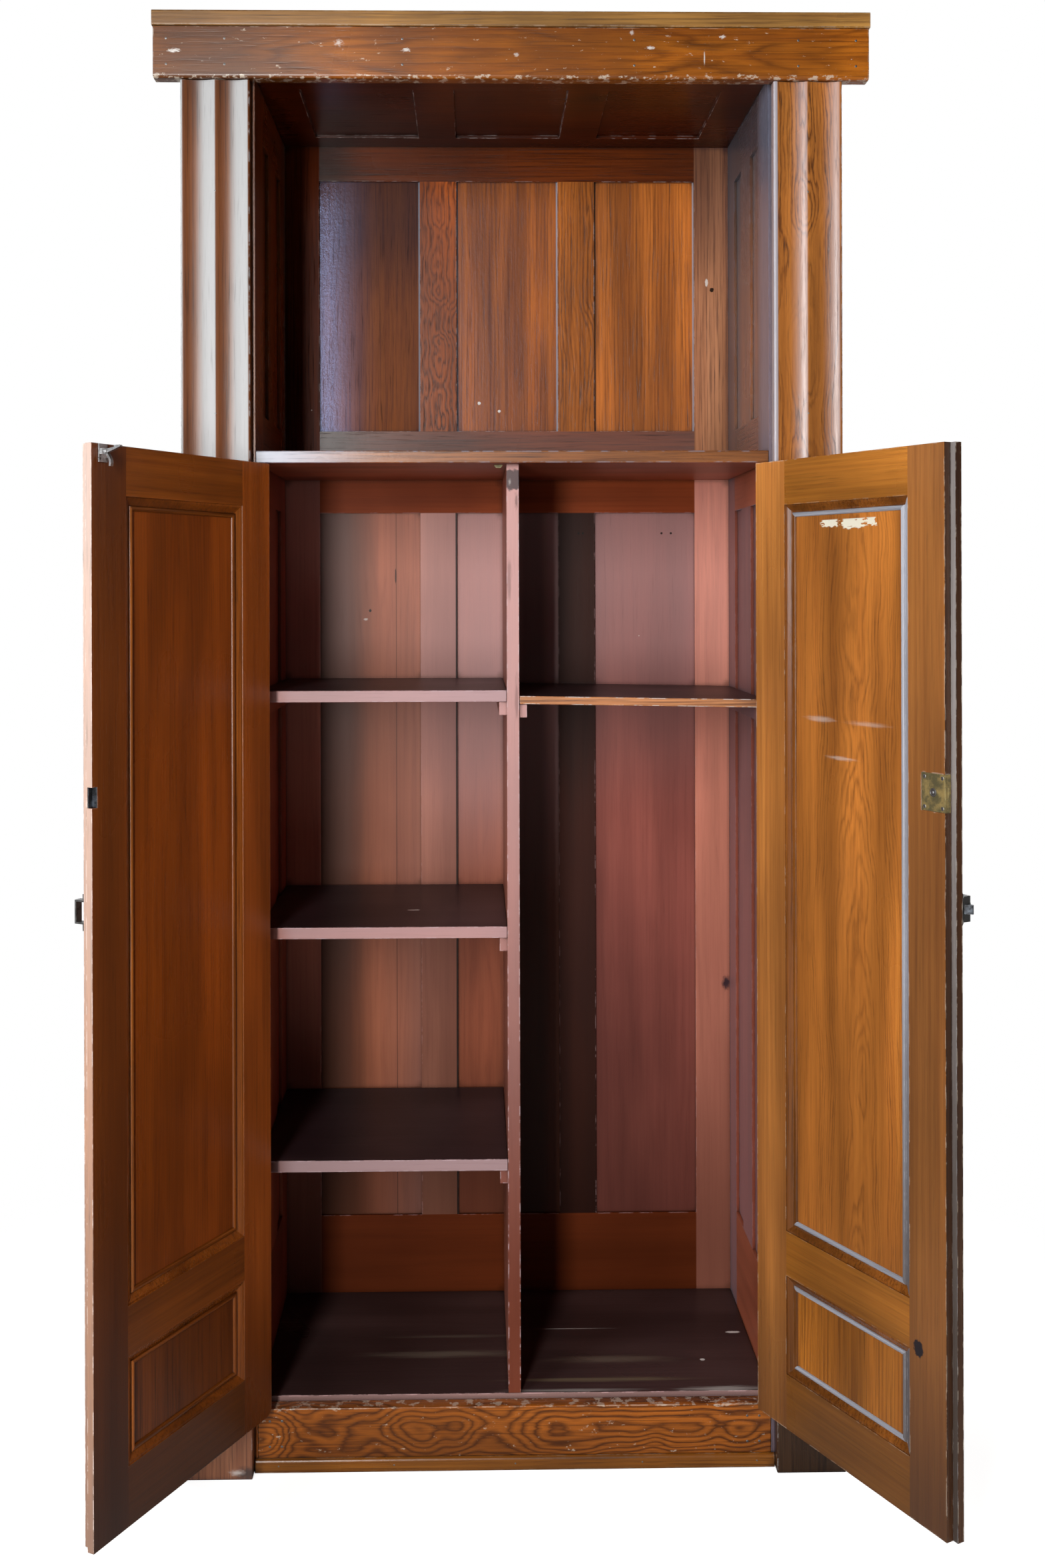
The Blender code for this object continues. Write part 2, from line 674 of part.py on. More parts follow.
def leaf_outline(z, fixed):
    # A leaf's comb of tabs, in depth from the pin's axis and height
    low, high = z - HINGE_HEIGHT / 2, z + HINGE_HEIGHT / 2
    end = outer_face + LEAF_WIDTH
    outline = [(end, high), (end, low), (outer_face, low)]
    for bottom, top in knuckle_spans(z, fixed):
        outline += [(outer_face, bottom), (0, bottom), (0, top), (outer_face, top)]
    outline.append((outer_face, high))
    return [point for i, point in enumerate(outline) if point != outline[i - 1]]


def make_hinge(name, hand, z, pivot, iron):
    def on_axis(a, b, height):
        return (a, b, height)

    def on_leaf(deep, height, along):
        return (hand * along, deep, height)
    bm = bmesh.new()
    draw_prism(bm, leaf_outline(z, False), on_leaf, hinge_edge, hinge_edge + LEAF_THICK)
    leaf = add_object(f"{name}_door_leaf", bm, iron, pivot)
    bm = bmesh.new()
    for low, high in knuckle_spans(z, False):
        draw_cylinder(bm, KNUCKLE_RADIUS, on_axis, low, high)
    add_boolean(leaf, add_object(f"{name}_door_knuckles", bm, parent=pivot), "UNION")
    bm = bmesh.new()
    reach = HINGE_HEIGHT / 2 + OVERSHOOT
    draw_cylinder(bm, PIN_RADIUS + PIN_ROOM, on_axis, z - reach, z + reach)
    add_boolean(leaf, add_object(f"{name}_pin_bore", bm, parent=pivot))
    shade_round(leaf)

    def on_jamb(deep, height, along):
        return (-hand * (pin_x + along), pin_y + deep, height)

    def on_pin(a, b, height):
        return (-hand * pin_x + a, pin_y + b, height)
    bm = bmesh.new()
    draw_prism(bm, leaf_outline(z, True), on_jamb, hinge_edge, hinge_edge + LEAF_THICK)
    leaf = add_object(f"{name}_jamb_leaf", bm, iron)
    profile = []
    for low, high in knuckle_spans(z, True):
        profile += [(PIN_RADIUS, low), (KNUCKLE_RADIUS, low), (KNUCKLE_RADIUS, high), (PIN_RADIUS, high)]
    bm = bmesh.new()
    draw_turning(bm, profile[1:-1], on_pin)
    add_boolean(leaf, add_object(f"{name}_fast_pin", bm), "UNION")
    shade_round(leaf)


# Surface latch and keeper

def latch_frame(along, height, out):
    # On the right door's outer face: along is past its lip's edge, and out is away from the door
    return (-(lip_edge + along), outer_face - out, LATCH_HEIGHT + height)


def make_latch(pivot, iron, steel):
    middle = -LATCH_CASE_WIDTH / 2
    bm = bmesh.new()
    flange = rounded_outline(LATCH_CASE_WIDTH, LATCH_FLANGE_HEIGHT, LATCH_FLANGE_ROUND)
    flange = [(middle + a, b) for a, b in flange]
    draw_prism(bm, flange, latch_frame, SEAT, SEAT + LATCH_FLANGE_THICK)
    case = add_object("latch_case", bm, iron, pivot)

    bm = bmesh.new()
    half = LATCH_CASE_HEIGHT / 2
    top = SEAT + LATCH_CASE_DEPTH
    rings = (
        (0, SEAT + LATCH_FLANGE_THICK - BITE),
        (0, top - LATCH_CASE_CHAMFER),
        (-LATCH_CASE_CHAMFER, top),
    )
    draw_window(bm, (-LATCH_CASE_WIDTH, 0), (-half, half), rings, latch_frame)
    add_boolean(case, add_object("latch_case_body", bm, parent=pivot), "UNION")

    bolt_low = SEAT + LATCH_FLANGE_THICK + LATCH_SLOT_ROOM
    bolt_high = bolt_low + LATCH_BOLT_THICK
    half = LATCH_BOLT_HEIGHT / 2
    room = LATCH_SLOT_ROOM
    slot = (-LATCH_BOLT_TAIL - LATCH_BOLT_THROW, OVERSHOOT)
    bm = bmesh.new()
    rings = ((0, bolt_low - room), (0, bolt_high + room))
    draw_window(bm, slot, (-half - room, half + room), rings, latch_frame)
    add_boolean(case, add_object("latch_bolt_slot", bm, parent=pivot))

    def on_knob(a, b, out):
        return latch_frame(middle + a, b, out)
    bm = bmesh.new()
    draw_cylinder(bm, KNOB_NECK + SEAT, on_knob, top - KNOB_STUB, top + OVERSHOOT)
    add_boolean(case, add_object("latch_knob_socket", bm, parent=pivot))

    # The bolt's tongue is bevelled on the side that meets the keeper as the door closes
    slope = LATCH_BOLT_THICK - LATCH_BOLT_BLUNT
    outline = (
        (-LATCH_BOLT_TAIL, bolt_low),
        (LATCH_BOLT_THROW - slope, bolt_low),
        (LATCH_BOLT_THROW, bolt_low + slope),
        (LATCH_BOLT_THROW, bolt_high),
        (-LATCH_BOLT_TAIL, bolt_high),
    )
    bm = bmesh.new()
    draw_prism(bm, outline, lambda along, out, height: latch_frame(along, height, out), -half, half)
    add_object("latch_bolt", bm, steel, pivot)

    bm = bmesh.new()
    rise = top - KNOB_STUB + SEAT
    end = top + KNOB_REACH
    profile = [(KNOB_NECK, rise), (KNOB_NECK, top + SEAT)]
    profile += [(KNOB_COLLAR, top + SEAT), (KNOB_NECK, top + KNOB_STUB)]
    for step in range(1, ARC_STEPS):
        angle = math.pi * step / ARC_STEPS
        profile.append((KNOB_RADIUS * math.sin(angle), end - KNOB_SWELL * (1 + math.cos(angle))))
    draw_turning(bm, profile, on_knob)
    axis = on_knob(0, 0, rise)
    shade_round(add_object("latch_knob", bm, iron, pivot, origin=axis))
    return bolt_high + SEAT


def make_keeper(pivot, iron, bolt_top):
    # A bent strap that the latch bolt slides into, near the left door's free edge
    inner = KEEPER_HEIGHT / 2 - KEEPER_WALL
    outer = KEEPER_HEIGHT / 2
    foot = outer + KEEPER_FLANGE
    ceiling = bolt_top + KEEPER_ROOM
    step = SEAT + KEEPER_WALL
    half = [(inner, SEAT), (foot, SEAT), (foot, step), (outer, step), (outer, ceiling + KEEPER_WALL)]
    outline = half + [(-a, b) for a, b in reversed(half)] + [(-inner, ceiling), (inner, ceiling)]
    start = tongue_edge - KEEPER_EDGE

    def on_left(height, out, along):
        return (start - along, outer_face - out, LATCH_HEIGHT + height)
    bm = bmesh.new()
    draw_prism(bm, outline, on_left, 0, KEEPER_WIDTH)
    add_object("latch_keeper", bm, iron, pivot)


# Lock and strike

def lock_frame(along, height, deep):
    # On the right door: along is past the free edge, and deep is below the inner face
    return (-(free_edge + along), inner_face - deep, LOCK_HEIGHT + height)


def make_lock(pivot, frame, brass):
    half = LOCK_TALL / 2
    bm = bmesh.new()
    rings = ((SEAT, -OVERSHOOT), (SEAT, LOCK_DEPTH + SEAT))
    draw_window(bm, (-LOCK_WIDTH, OVERSHOOT), (-half, half), rings, lock_frame)
    add_boolean(frame, add_object("lock_pocket", bm, parent=pivot))
    bm = bmesh.new()
    draw_window(bm, (-LOCK_WIDTH, 0), (-half, half), ((0, 0), (0, LOCK_DEPTH)), lock_frame)
    case = add_object("lock_case", bm, brass, pivot)

    half = LOCK_BOLT_TALL / 2
    near, far = LOCK_BOLT_COVER, LOCK_BOLT_COVER + LOCK_BOLT_THICK
    bm = bmesh.new()
    rings = ((SEAT, near - SEAT), (SEAT, far + SEAT))
    draw_window(bm, (-LOCK_BOLT_LENGTH, OVERSHOOT), (-half, half), rings, lock_frame)
    add_boolean(case, add_object("lock_bolt_slot", bm, parent=pivot))
    bm = bmesh.new()
    draw_window(bm, (-LOCK_BOLT_LENGTH, 0), (-half, half), ((0, near), (0, far)), lock_frame)
    add_object("lock_bolt", bm, brass, pivot)

    # The keyhole runs from the escutcheon through the stile to the lock's case
    middle = -LOCK_WIDTH / 2

    def outside(a, b, out):
        return (-(free_edge + middle + a), outer_face - out, LOCK_HEIGHT + b)
    keyhole = rounded_outline(KEYHOLE_WIDTH, KEYHOLE_TALL, KEYHOLE_WIDTH / 2 - SEAT)
    bm = bmesh.new()
    draw_prism(bm, keyhole, outside, LOCK_DEPTH - DOOR_THICK - OVERSHOOT / 2, OVERSHOOT)
    keyhole_cutter = add_object("keyhole", bm, parent=pivot)
    add_boolean(frame, keyhole_cutter)
    bm = bmesh.new()
    plate = rounded_outline(ESCUTCHEON_WIDTH, ESCUTCHEON_TALL, ESCUTCHEON_WIDTH / 2 - SEAT)
    draw_prism(bm, plate, outside, SEAT, SEAT + ESCUTCHEON_THICK)
    add_boolean(add_object("key_escutcheon", bm, brass, pivot), keyhole_cutter)


def make_strike(pivot, frame, steel):
    # An angle plate that lines a notch in the left door's inner corner, where the lock's bolt enters
    far = LOCK_BOLT_COVER + LOCK_BOLT_THICK + STRIKE_ROOM
    half = STRIKE_TALL / 2

    def in_notch(along, height, deep):
        return (free_edge + along, inner_face - deep, LOCK_HEIGHT + height)
    bm = bmesh.new()
    rings = ((SEAT, -OVERSHOOT), (SEAT, far + STRIKE_PLATE + SEAT))
    draw_window(bm, (-STRIKE_REACH, OVERSHOOT), (-half, half), rings, in_notch)
    add_boolean(frame, add_object("lock_strike_notch", bm, parent=pivot))
    bed = far + STRIKE_PLATE
    outline = (
        (-STRIKE_REACH, 0),
        (-STRIKE_REACH, bed),
        (-SEAT, bed),
        (-SEAT, far),
        (STRIKE_PLATE - STRIKE_REACH, far),
        (STRIKE_PLATE - STRIKE_REACH, 0),
    )
    bm = bmesh.new()
    draw_prism(bm, outline, lambda along, deep, height: in_notch(along, height, deep), -half, half)
    add_object("lock_strike", bm, steel, pivot)


# Elbow catch

def catch_frame(along, height, stand):
    # On the left door's inner face, measured from the lever's pivot
    x = free_edge - CATCH_EDGE + along
    return (x, inner_face + CATCH_STAND + stand, door_top - CATCH_DROP + height)


def across_catch(stand, height, along):
    return catch_frame(along, height, stand)


def make_catch(pivot, steel):
    base = SEAT - CATCH_STAND
    half_wide, half_tall = CATCH_PLATE_WIDTH / 2, CATCH_PLATE_TALL / 2
    drop = half_tall - CATCH_DROP + SEAT
    bm = bmesh.new()
    rise = (-half_tall - drop, half_tall - drop)
    rings = ((0, base), (0, base + CATCH_PLATE_THICK))
    draw_window(bm, (-half_wide, half_wide), rise, rings, catch_frame)
    bracket = add_object("catch_bracket", bm, steel, pivot)

    ear = [(base + CATCH_PLATE_THICK - BITE / 2, -CATCH_EAR_ROUND)]
    ear += arc_points((0, 0), CATCH_EAR_ROUND, -90, 90)
    ear.append((base + CATCH_PLATE_THICK - BITE / 2, CATCH_EAR_ROUND))
    inner = LEVER_WIDTH / 2 + LEVER_ROOM
    bm = bmesh.new()
    for sign in (-1, 1):
        draw_prism(bm, ear, across_catch, sign * inner, sign * (inner + CATCH_EAR_THICK))
    add_boolean(bracket, add_object("catch_ears", bm, parent=pivot), "UNION")
    bm = bmesh.new()
    reach = inner + CATCH_EAR_THICK + BITE / 2
    draw_cylinder(bm, CATCH_PIN_RADIUS, across_catch, -reach, reach)
    add_boolean(bracket, add_object("catch_pin", bm, parent=pivot), "UNION")

    half = LEVER_WIDTH / 2
    bm = bmesh.new()
    draw_cylinder(bm, LEVER_BOSS, across_catch, -half, half)
    lever = add_object("catch_lever", bm, steel, pivot, origin=catch_frame(0, 0, 0))
    foot = LEVER_NOSE_TOP - LEVER_ARM_THICK
    arm = (
        (0, LEVER_BOSS - BITE),
        (0, BITE - LEVER_BOSS),
        (LEVER_BOSS, BITE - LEVER_BOSS),
        (LEVER_NOSE_END, foot + BITE),
        (LEVER_NOSE_END, LEVER_NOSE_TOP - BITE),
        (LEVER_NOSE_END - BITE, LEVER_NOSE_TOP),
        (LEVER_NOSE_START, LEVER_NOSE_TOP),
        (LEVER_NOSE_START, foot + BITE),
    )
    bm = bmesh.new()
    draw_prism(bm, arm, across_catch, SEAT - half, half - SEAT)
    add_boolean(lever, add_object("catch_arm", bm, parent=pivot), "UNION")
    bm = bmesh.new()
    draw_prism(bm, tail_outline(), across_catch, 2 * SEAT - half, half - 2 * SEAT)
    add_boolean(lever, add_object("catch_tail", bm, parent=pivot), "UNION")
    bm = bmesh.new()
    draw_cylinder(bm, CATCH_PIN_RADIUS + LEVER_ROOM, across_catch, -half - OVERSHOOT, half + OVERSHOOT)
    add_boolean(lever, add_object("catch_bore", bm, parent=pivot))


def tail_outline():
    # The thumb tail sweeps out from the boss and curls back, thinning towards its tip
    steps = 2 * ARC_STEPS
    near, far = [], []
    for step in range(steps + 1):
        share = step / steps
        middle = TAIL_REACH * math.sin(TAIL_SWEEP * share)
        half = (TAIL_THICK + (TAIL_TIP - TAIL_THICK) * share) / 2
        near.append((middle - half, -TAIL_DROP * share))
        far.append((middle + half, -TAIL_DROP * share))
    return near + far[::-1]


def make_catch_strike(steel):
    # A small plate under the niche shelf, whose lip the lever's nose hooks behind
    x = -pin_x + free_edge - CATCH_EDGE
    lip_back = pin_y + inner_face + CATCH_STAND + LEVER_NOSE_START - CATCH_STRIKE_ROOM
    top = niche_shelf_bottom - SEAT
    half = CATCH_STRIKE_WIDTH / 2
    rise = (top - CATCH_STRIKE_THICK, top)
    span = (lip_back - CATCH_STRIKE_THICK, lip_back - CATCH_STRIKE_THICK + CATCH_STRIKE_LENGTH)
    plate = make_box("catch_strike", (x - half, x + half), span, rise, steel)
    tip = CATCH_STRIKE_TIP / 2
    low = top - CATCH_STRIKE_DROP
    inside = top - CATCH_STRIKE_THICK / 2
    outline = ((x - half, inside), (x - tip, low), (x + tip, low), (x + half, inside))
    bm = bmesh.new()
    draw_prism(bm, outline, lambda a, b, y: (a, y, b), lip_back - CATCH_STRIKE_THICK, lip_back)
    add_boolean(plate, add_object("catch_strike_lip", bm), "UNION")


def main():
    clear_scene()
    oak = make_material("amber_oak", (0.28, 0.12, 0.035), 0.42)
    red = make_material("red_stain", (0.22, 0.06, 0.035), 0.5)
    iron = make_material("dark_iron", (0.03, 0.028, 0.026), 0.5, 0.8)
    steel = make_material("worn_steel", (0.5, 0.5, 0.5), 0.35, 1.0)
    brass = make_material("aged_brass", (0.45, 0.33, 0.13), 0.4, 1.0)

    make_walls(oak, red)
    make_boards(oak, red)
    make_base(oak, red)
    make_casings(oak)
    make_cornice(oak)

    left_pivot, left_frame = make_door("left", 1, oak)
    right_pivot, right_frame = make_door("right", -1, oak)
    wear_foot(left_pivot, left_frame)
    for row, z in hinge_heights.items():
        make_hinge(f"left_{row}_hinge", 1, z, left_pivot, iron)
        make_hinge(f"right_{row}_hinge", -1, z, right_pivot, iron)

    bolt_top = make_latch(right_pivot, iron, steel)
    make_keeper(left_pivot, iron, bolt_top)
    make_lock(right_pivot, right_frame, brass)
    make_strike(left_pivot, left_frame, steel)
    make_catch(left_pivot, steel)
    make_catch_strike(brass)


main()
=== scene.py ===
import json
import math

import bmesh
import bpy
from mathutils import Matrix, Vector

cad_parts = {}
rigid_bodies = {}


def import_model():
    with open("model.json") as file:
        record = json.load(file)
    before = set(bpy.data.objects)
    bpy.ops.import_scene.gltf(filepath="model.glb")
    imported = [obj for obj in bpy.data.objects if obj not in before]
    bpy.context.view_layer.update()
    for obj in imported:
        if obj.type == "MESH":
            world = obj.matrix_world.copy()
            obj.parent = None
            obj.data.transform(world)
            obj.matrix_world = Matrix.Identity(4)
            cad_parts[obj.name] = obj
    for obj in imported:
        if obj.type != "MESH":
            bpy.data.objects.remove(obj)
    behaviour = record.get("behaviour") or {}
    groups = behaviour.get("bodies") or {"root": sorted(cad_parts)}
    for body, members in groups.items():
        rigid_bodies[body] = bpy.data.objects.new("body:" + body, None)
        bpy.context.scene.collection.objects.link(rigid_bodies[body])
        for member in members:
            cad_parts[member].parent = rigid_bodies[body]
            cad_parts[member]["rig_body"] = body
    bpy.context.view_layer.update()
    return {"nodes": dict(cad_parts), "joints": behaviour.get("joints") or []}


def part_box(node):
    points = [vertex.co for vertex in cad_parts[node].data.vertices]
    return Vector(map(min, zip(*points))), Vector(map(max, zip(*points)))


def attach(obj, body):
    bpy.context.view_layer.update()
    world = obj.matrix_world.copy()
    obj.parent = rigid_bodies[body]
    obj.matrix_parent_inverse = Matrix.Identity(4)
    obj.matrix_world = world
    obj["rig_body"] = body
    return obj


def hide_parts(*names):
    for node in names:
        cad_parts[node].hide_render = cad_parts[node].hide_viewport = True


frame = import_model()
nodes = frame["nodes"]
print("frame loaded:", len(nodes), "solids")

# The doors stand open at rest, so a door's own axes are turned by the full swing of its joint
swings = {joint["name"]: joint for joint in frame["joints"]}
openTurn = math.radians(max(swings["left_door_swing"]["range_deg"]))
doors = {
    "left": {"hand": 1, "pin": Vector(swings["left_door_swing"]["pos_m"])},
    "right": {"hand": -1, "pin": Vector(swings["right_door_swing"]["pos_m"])},
}


# Camera, light and floor

cameraSetup = {
    "place": (-0.065, -2.610, 1.449),
    "lens": 36.06,
    "yaw": 1.04,       # degrees to the right
    "roll": 0.14,
    "shift": (0.0128, -0.1224),
}

lightSetup = {
    "window": {"place": (-0.92, -3.6, 1.82), "aim": (-0.1, 0.2, 1.35), "size": (0.42, 2.65), "power": 122,
               "tint": (1.0, 0.99, 0.97)},
    "leftWindow": {"place": (-2.5, -2.5, 2.2), "aim": (-0.1, 0.1, 1.5), "size": (1.0, 1.8), "power": 62,
                   "tint": (0.92, 0.96, 1.0)},
    "rearLeft": {"place": (-3.2, 3.0, 2.4), "aim": (-0.2, 0.3, 1.2), "size": (2.4, 2.4), "power": 95,
                 "tint": (1.0, 1.0, 1.0)},
    "rearRight": {"place": (3.2, 2.4, 2.4), "aim": (0.3, 0.2, 1.2), "size": (2.4, 2.4), "power": 95,
                  "tint": (1.0, 1.0, 1.0)},
    "room": {"place": (0.35, -4.4, 1.5), "aim": (0.1, 0.4, 1.45), "size": (1.5, 1.1), "power": 2.2,
             "tint": (0.90, 0.94, 1.0)},
}

worldSetup = {
    "ambient": 0.014, "tint": (0.96, 0.98, 1.0), "frontGloss": 0.02,
    "eyeGloss": 0.16, "eyeReach": 0.28, "eyeLevel": 0.03,
    "backdrop": (-0.1, 0.5),      # from where to where it brightens towards the back
}

floorSetup = {"half": 9.0, "drop": 0.0004, "colour": (0.45, 0.44, 0.43), "lift": 0.84,
              "clear": 0.75, "gone": 1.55}


def addObject(name, data):
    thing = bpy.data.objects.new(name, data)
    bpy.context.scene.collection.objects.link(thing)
    return thing


def makeCamera():
    data = bpy.data.cameras.new("photoCamera")
    data.lens = cameraSetup["lens"]
    data.shift_x, data.shift_y = cameraSetup["shift"]
    camera = addObject("photoCamera", data)
    camera.location = cameraSetup["place"]
    roll, yaw = math.radians(cameraSetup["roll"]), math.radians(cameraSetup["yaw"])
    camera.rotation_euler = (math.pi / 2, roll, -yaw)
    bpy.context.scene.camera = camera


def makeLights():
    for name, spec in lightSetup.items():
        data = bpy.data.lights.new(name, "AREA")
        data.shape = "RECTANGLE"
        data.size, data.size_y = spec["size"]
        data.energy = spec["power"]
        data.color = spec["tint"]
        lamp = addObject(name, data)
        lamp.location = spec["place"]
        aim = Vector(spec["aim"]) - Vector(spec["place"])
        lamp.rotation_euler = aim.to_track_quat("-Z", "Y").to_euler()


# Small helpers that add shader nodes and give their result

def feed(tree, target, value):
    if isinstance(value, bpy.types.NodeSocket):
        tree.links.new(value, target)
    elif value is not None:
        target.default_value = value


def mathOf(tree, operation, *values):
    node = tree.nodes.new("ShaderNodeMath")
    node.operation = operation
    for target, value in zip(node.inputs, values):
        feed(tree, target, value)
    return node.outputs[0]


def addOf(tree, value, share, base):
    # base with a share of value added to it
    return mathOf(tree, "MULTIPLY_ADD", value, share, base)


def timesOf(tree, first, second):
    return mathOf(tree, "MULTIPLY", first, second)


def lengthOf(tree, x, y):
    return mathOf(tree, "SQRT", mathOf(tree, "ADD", timesOf(tree, x, x), timesOf(tree, y, y)))


def dotOf(tree, first, second):
    node = tree.nodes.new("ShaderNodeVectorMath")
    node.operation = "DOT_PRODUCT"
    feed(tree, node.inputs[0], first)
    feed(tree, node.inputs[1], second)
    return node.outputs["Value"]


def joinOf(tree, x, y, z):
    node = tree.nodes.new("ShaderNodeCombineXYZ")
    for target, value in zip(node.inputs, (x, y, z)):
        feed(tree, target, value)
    return node.outputs[0]


def splitOf(tree, vector):
    node = tree.nodes.new("ShaderNodeSeparateXYZ")
    feed(tree, node.inputs[0], vector)
    return dict(zip("xyz", node.outputs))


def noiseOf(tree, vector, stretch, shift=(0, 0, 0), detail=2.0, roughness=0.5):
    # A noise whose features are 1 / stretch metres across on each axis
    place = tree.nodes.new("ShaderNodeMapping")
    feed(tree, place.inputs["Vector"], vector)
    place.inputs["Scale"].default_value = stretch
    place.inputs["Location"].default_value = shift
    node = tree.nodes.new("ShaderNodeTexNoise")
    tree.links.new(place.outputs[0], node.inputs["Vector"])
    node.inputs["Scale"].default_value = 1.0
    node.inputs["Detail"].default_value = detail
    node.inputs["Roughness"].default_value = roughness
    return node.outputs[0]


def rangeOf(tree, value, low, high, start=0.0, end=1.0):
    node = tree.nodes.new("ShaderNodeMapRange")
    node.interpolation_type = "SMOOTHSTEP"
    feed(tree, node.inputs["Value"], value)
    for label, limit in (("From Min", low), ("From Max", high), ("To Min", start), ("To Max", end)):
        node.inputs[label].default_value = limit
    return node.outputs[0]


def rampOf(tree, factor, stops):
    node = tree.nodes.new("ShaderNodeValToRGB")
    feed(tree, node.inputs[0], factor)
    elements = node.color_ramp.elements
    while len(elements) < len(stops):
        elements.new(0.5)
    for element, (position, value) in zip(elements, stops):
        element.position = position
        element.color = (value, value, value, 1.0)
    return node.outputs[0]


def mixOf(tree, factor, first, second, blend="MIX"):
    node = tree.nodes.new("ShaderNodeMix")
    node.data_type = "RGBA"
    node.blend_type = blend
    feed(tree, node.inputs[0], factor)
    for target, value in ((node.inputs[6], first), (node.inputs[7], second)):
        feed(tree, target, value if isinstance(value, bpy.types.NodeSocket) else (*value, 1.0))
    return node.outputs[2]


def normalOf(tree):
    return tree.nodes.new("ShaderNodeNewGeometry").outputs["Normal"]


def edgeOf(tree, radius):
    # How far the surface turns within a short way of each spot
    soft = tree.nodes.new("ShaderNodeBevel")
    soft.samples = 4
    soft.inputs["Radius"].default_value = radius
    return mathOf(tree, "SUBTRACT", 1.0, dotOf(tree, soft.outputs[0], normalOf(tree)))


def addBump(tree, shader, height, strength, distance):
    bump = tree.nodes.new("ShaderNodeBump")
    bump.inputs["Strength"].default_value = strength
    bump.inputs["Distance"].default_value = distance
    tree.links.new(height, bump.inputs["Height"])
    tree.links.new(bump.outputs[0], shader.inputs["Normal"])


def newMaterial(name):
    material = bpy.data.materials.new(name)
    material.use_nodes = True
    return material, material.node_tree


def objectSpace(tree, side=None):
    # Object coordinates, turned to a door's own width, depth and height where a side is given
    coords = tree.nodes.new("ShaderNodeTexCoord").outputs["Object"]
    if side is None:
        return coords
    turn = doors[side]["hand"] * openTurn
    pin = doors[side]["pin"]
    place = tree.nodes.new("ShaderNodeMapping")
    tree.links.new(coords, place.inputs["Vector"])
    place.inputs["Rotation"].default_value = (0, 0, turn)
    cosine, sine = math.cos(turn), math.sin(turn)
    place.inputs["Location"].default_value = (
        -(cosine * pin.x - sine * pin.y), -(sine * pin.x + cosine * pin.y), 0)
    return place.outputs[0]


def makeWorld():
    world = bpy.data.worlds.new("studio")
    bpy.context.scene.world = world
    world.use_nodes = True
    tree = world.node_tree
    tree.nodes.clear()
    rays = tree.nodes.new("ShaderNodeLightPath").outputs
    facing = splitOf(tree, tree.nodes.new("ShaderNodeTexCoord").outputs["Generated"])
    # Mirror-like rays see the white backdrop behind the cabinet, and a dimmer room in front of it
    # with a brighter band at eye level
    height = mathOf(tree, "ABSOLUTE", mathOf(tree, "SUBTRACT", facing["z"], worldSetup["eyeLevel"]))
    band = rangeOf(tree, height, worldSetup["eyeReach"], 0.0,
                   worldSetup["frontGloss"], worldSetup["eyeGloss"])
    behind = mathOf(tree, "MAXIMUM", band, rangeOf(tree, facing["y"], *worldSetup["backdrop"]))
    shiny = mathOf(tree, "MAXIMUM", rays["Is Glossy Ray"], rays["Is Transmission Ray"])
    plain = timesOf(tree, mathOf(tree, "SUBTRACT", 1.0, shiny), worldSetup["ambient"])
    level = mathOf(tree, "ADD", timesOf(tree, shiny, behind), plain)
    level = mathOf(tree, "MAXIMUM", level, rays["Is Camera Ray"])
    colour = mixOf(tree, rays["Is Camera Ray"], worldSetup["tint"], (1.0, 1.0, 1.0))
    light = tree.nodes.new("ShaderNodeBackground")
    tree.links.new(colour, light.inputs["Color"])
    tree.links.new(level, light.inputs["Strength"])
    out = tree.nodes.new("ShaderNodeOutputWorld")
    tree.links.new(light.outputs[0], out.inputs["Surface"])


def makeFloor():
    half, low = floorSetup["half"], -floorSetup["drop"]
    mesh = bpy.data.meshes.new("floor")
    corners = [(-half, -half, low), (half, -half, low), (half, half, low), (-half, half, low)]
    mesh.from_pydata(corners, [], [(0, 1, 2, 3)])
    floor = addObject("floor", mesh)
    material, tree = newMaterial("paleFloor")
    tree.nodes.clear()
    base = tree.nodes.new("ShaderNodeBsdfDiffuse")
    base.inputs["Color"].default_value = (*floorSetup["colour"], 1.0)
    seen = tree.nodes.new("ShaderNodeLightPath").outputs["Is Camera Ray"]
    lift = tree.nodes.new("ShaderNodeEmission")
    tree.links.new(timesOf(tree, seen, floorSetup["lift"]), lift.inputs["Strength"])
    both = tree.nodes.new("ShaderNodeAddShader")
    tree.links.new(base.outputs[0], both.inputs[0])
    tree.links.new(lift.outputs[0], both.inputs[1])
    # The floor fades out into the white backdrop a little way from the cabinet
    spot = splitOf(tree, objectSpace(tree))
    reach = lengthOf(tree, spot["x"], spot["y"])
    fade = timesOf(tree, seen, rangeOf(tree, reach, floorSetup["clear"], floorSetup["gone"]))
    through = tree.nodes.new("ShaderNodeBsdfTransparent")
    shown = tree.nodes.new("ShaderNodeMixShader")
    for source, target in zip((fade, both.outputs[0], through.outputs[0]), shown.inputs):
        tree.links.new(source, target)
    out = tree.nodes.new("ShaderNodeOutputMaterial")
    tree.links.new(shown.outputs[0], out.inputs["Surface"])
    mesh.materials.append(material)


makeCamera()
makeLights()
makeWorld()
makeFloor()
bpy.context.scene.view_settings.view_transform = "Standard"
print("camera, light and floor made")


# Wood finishes

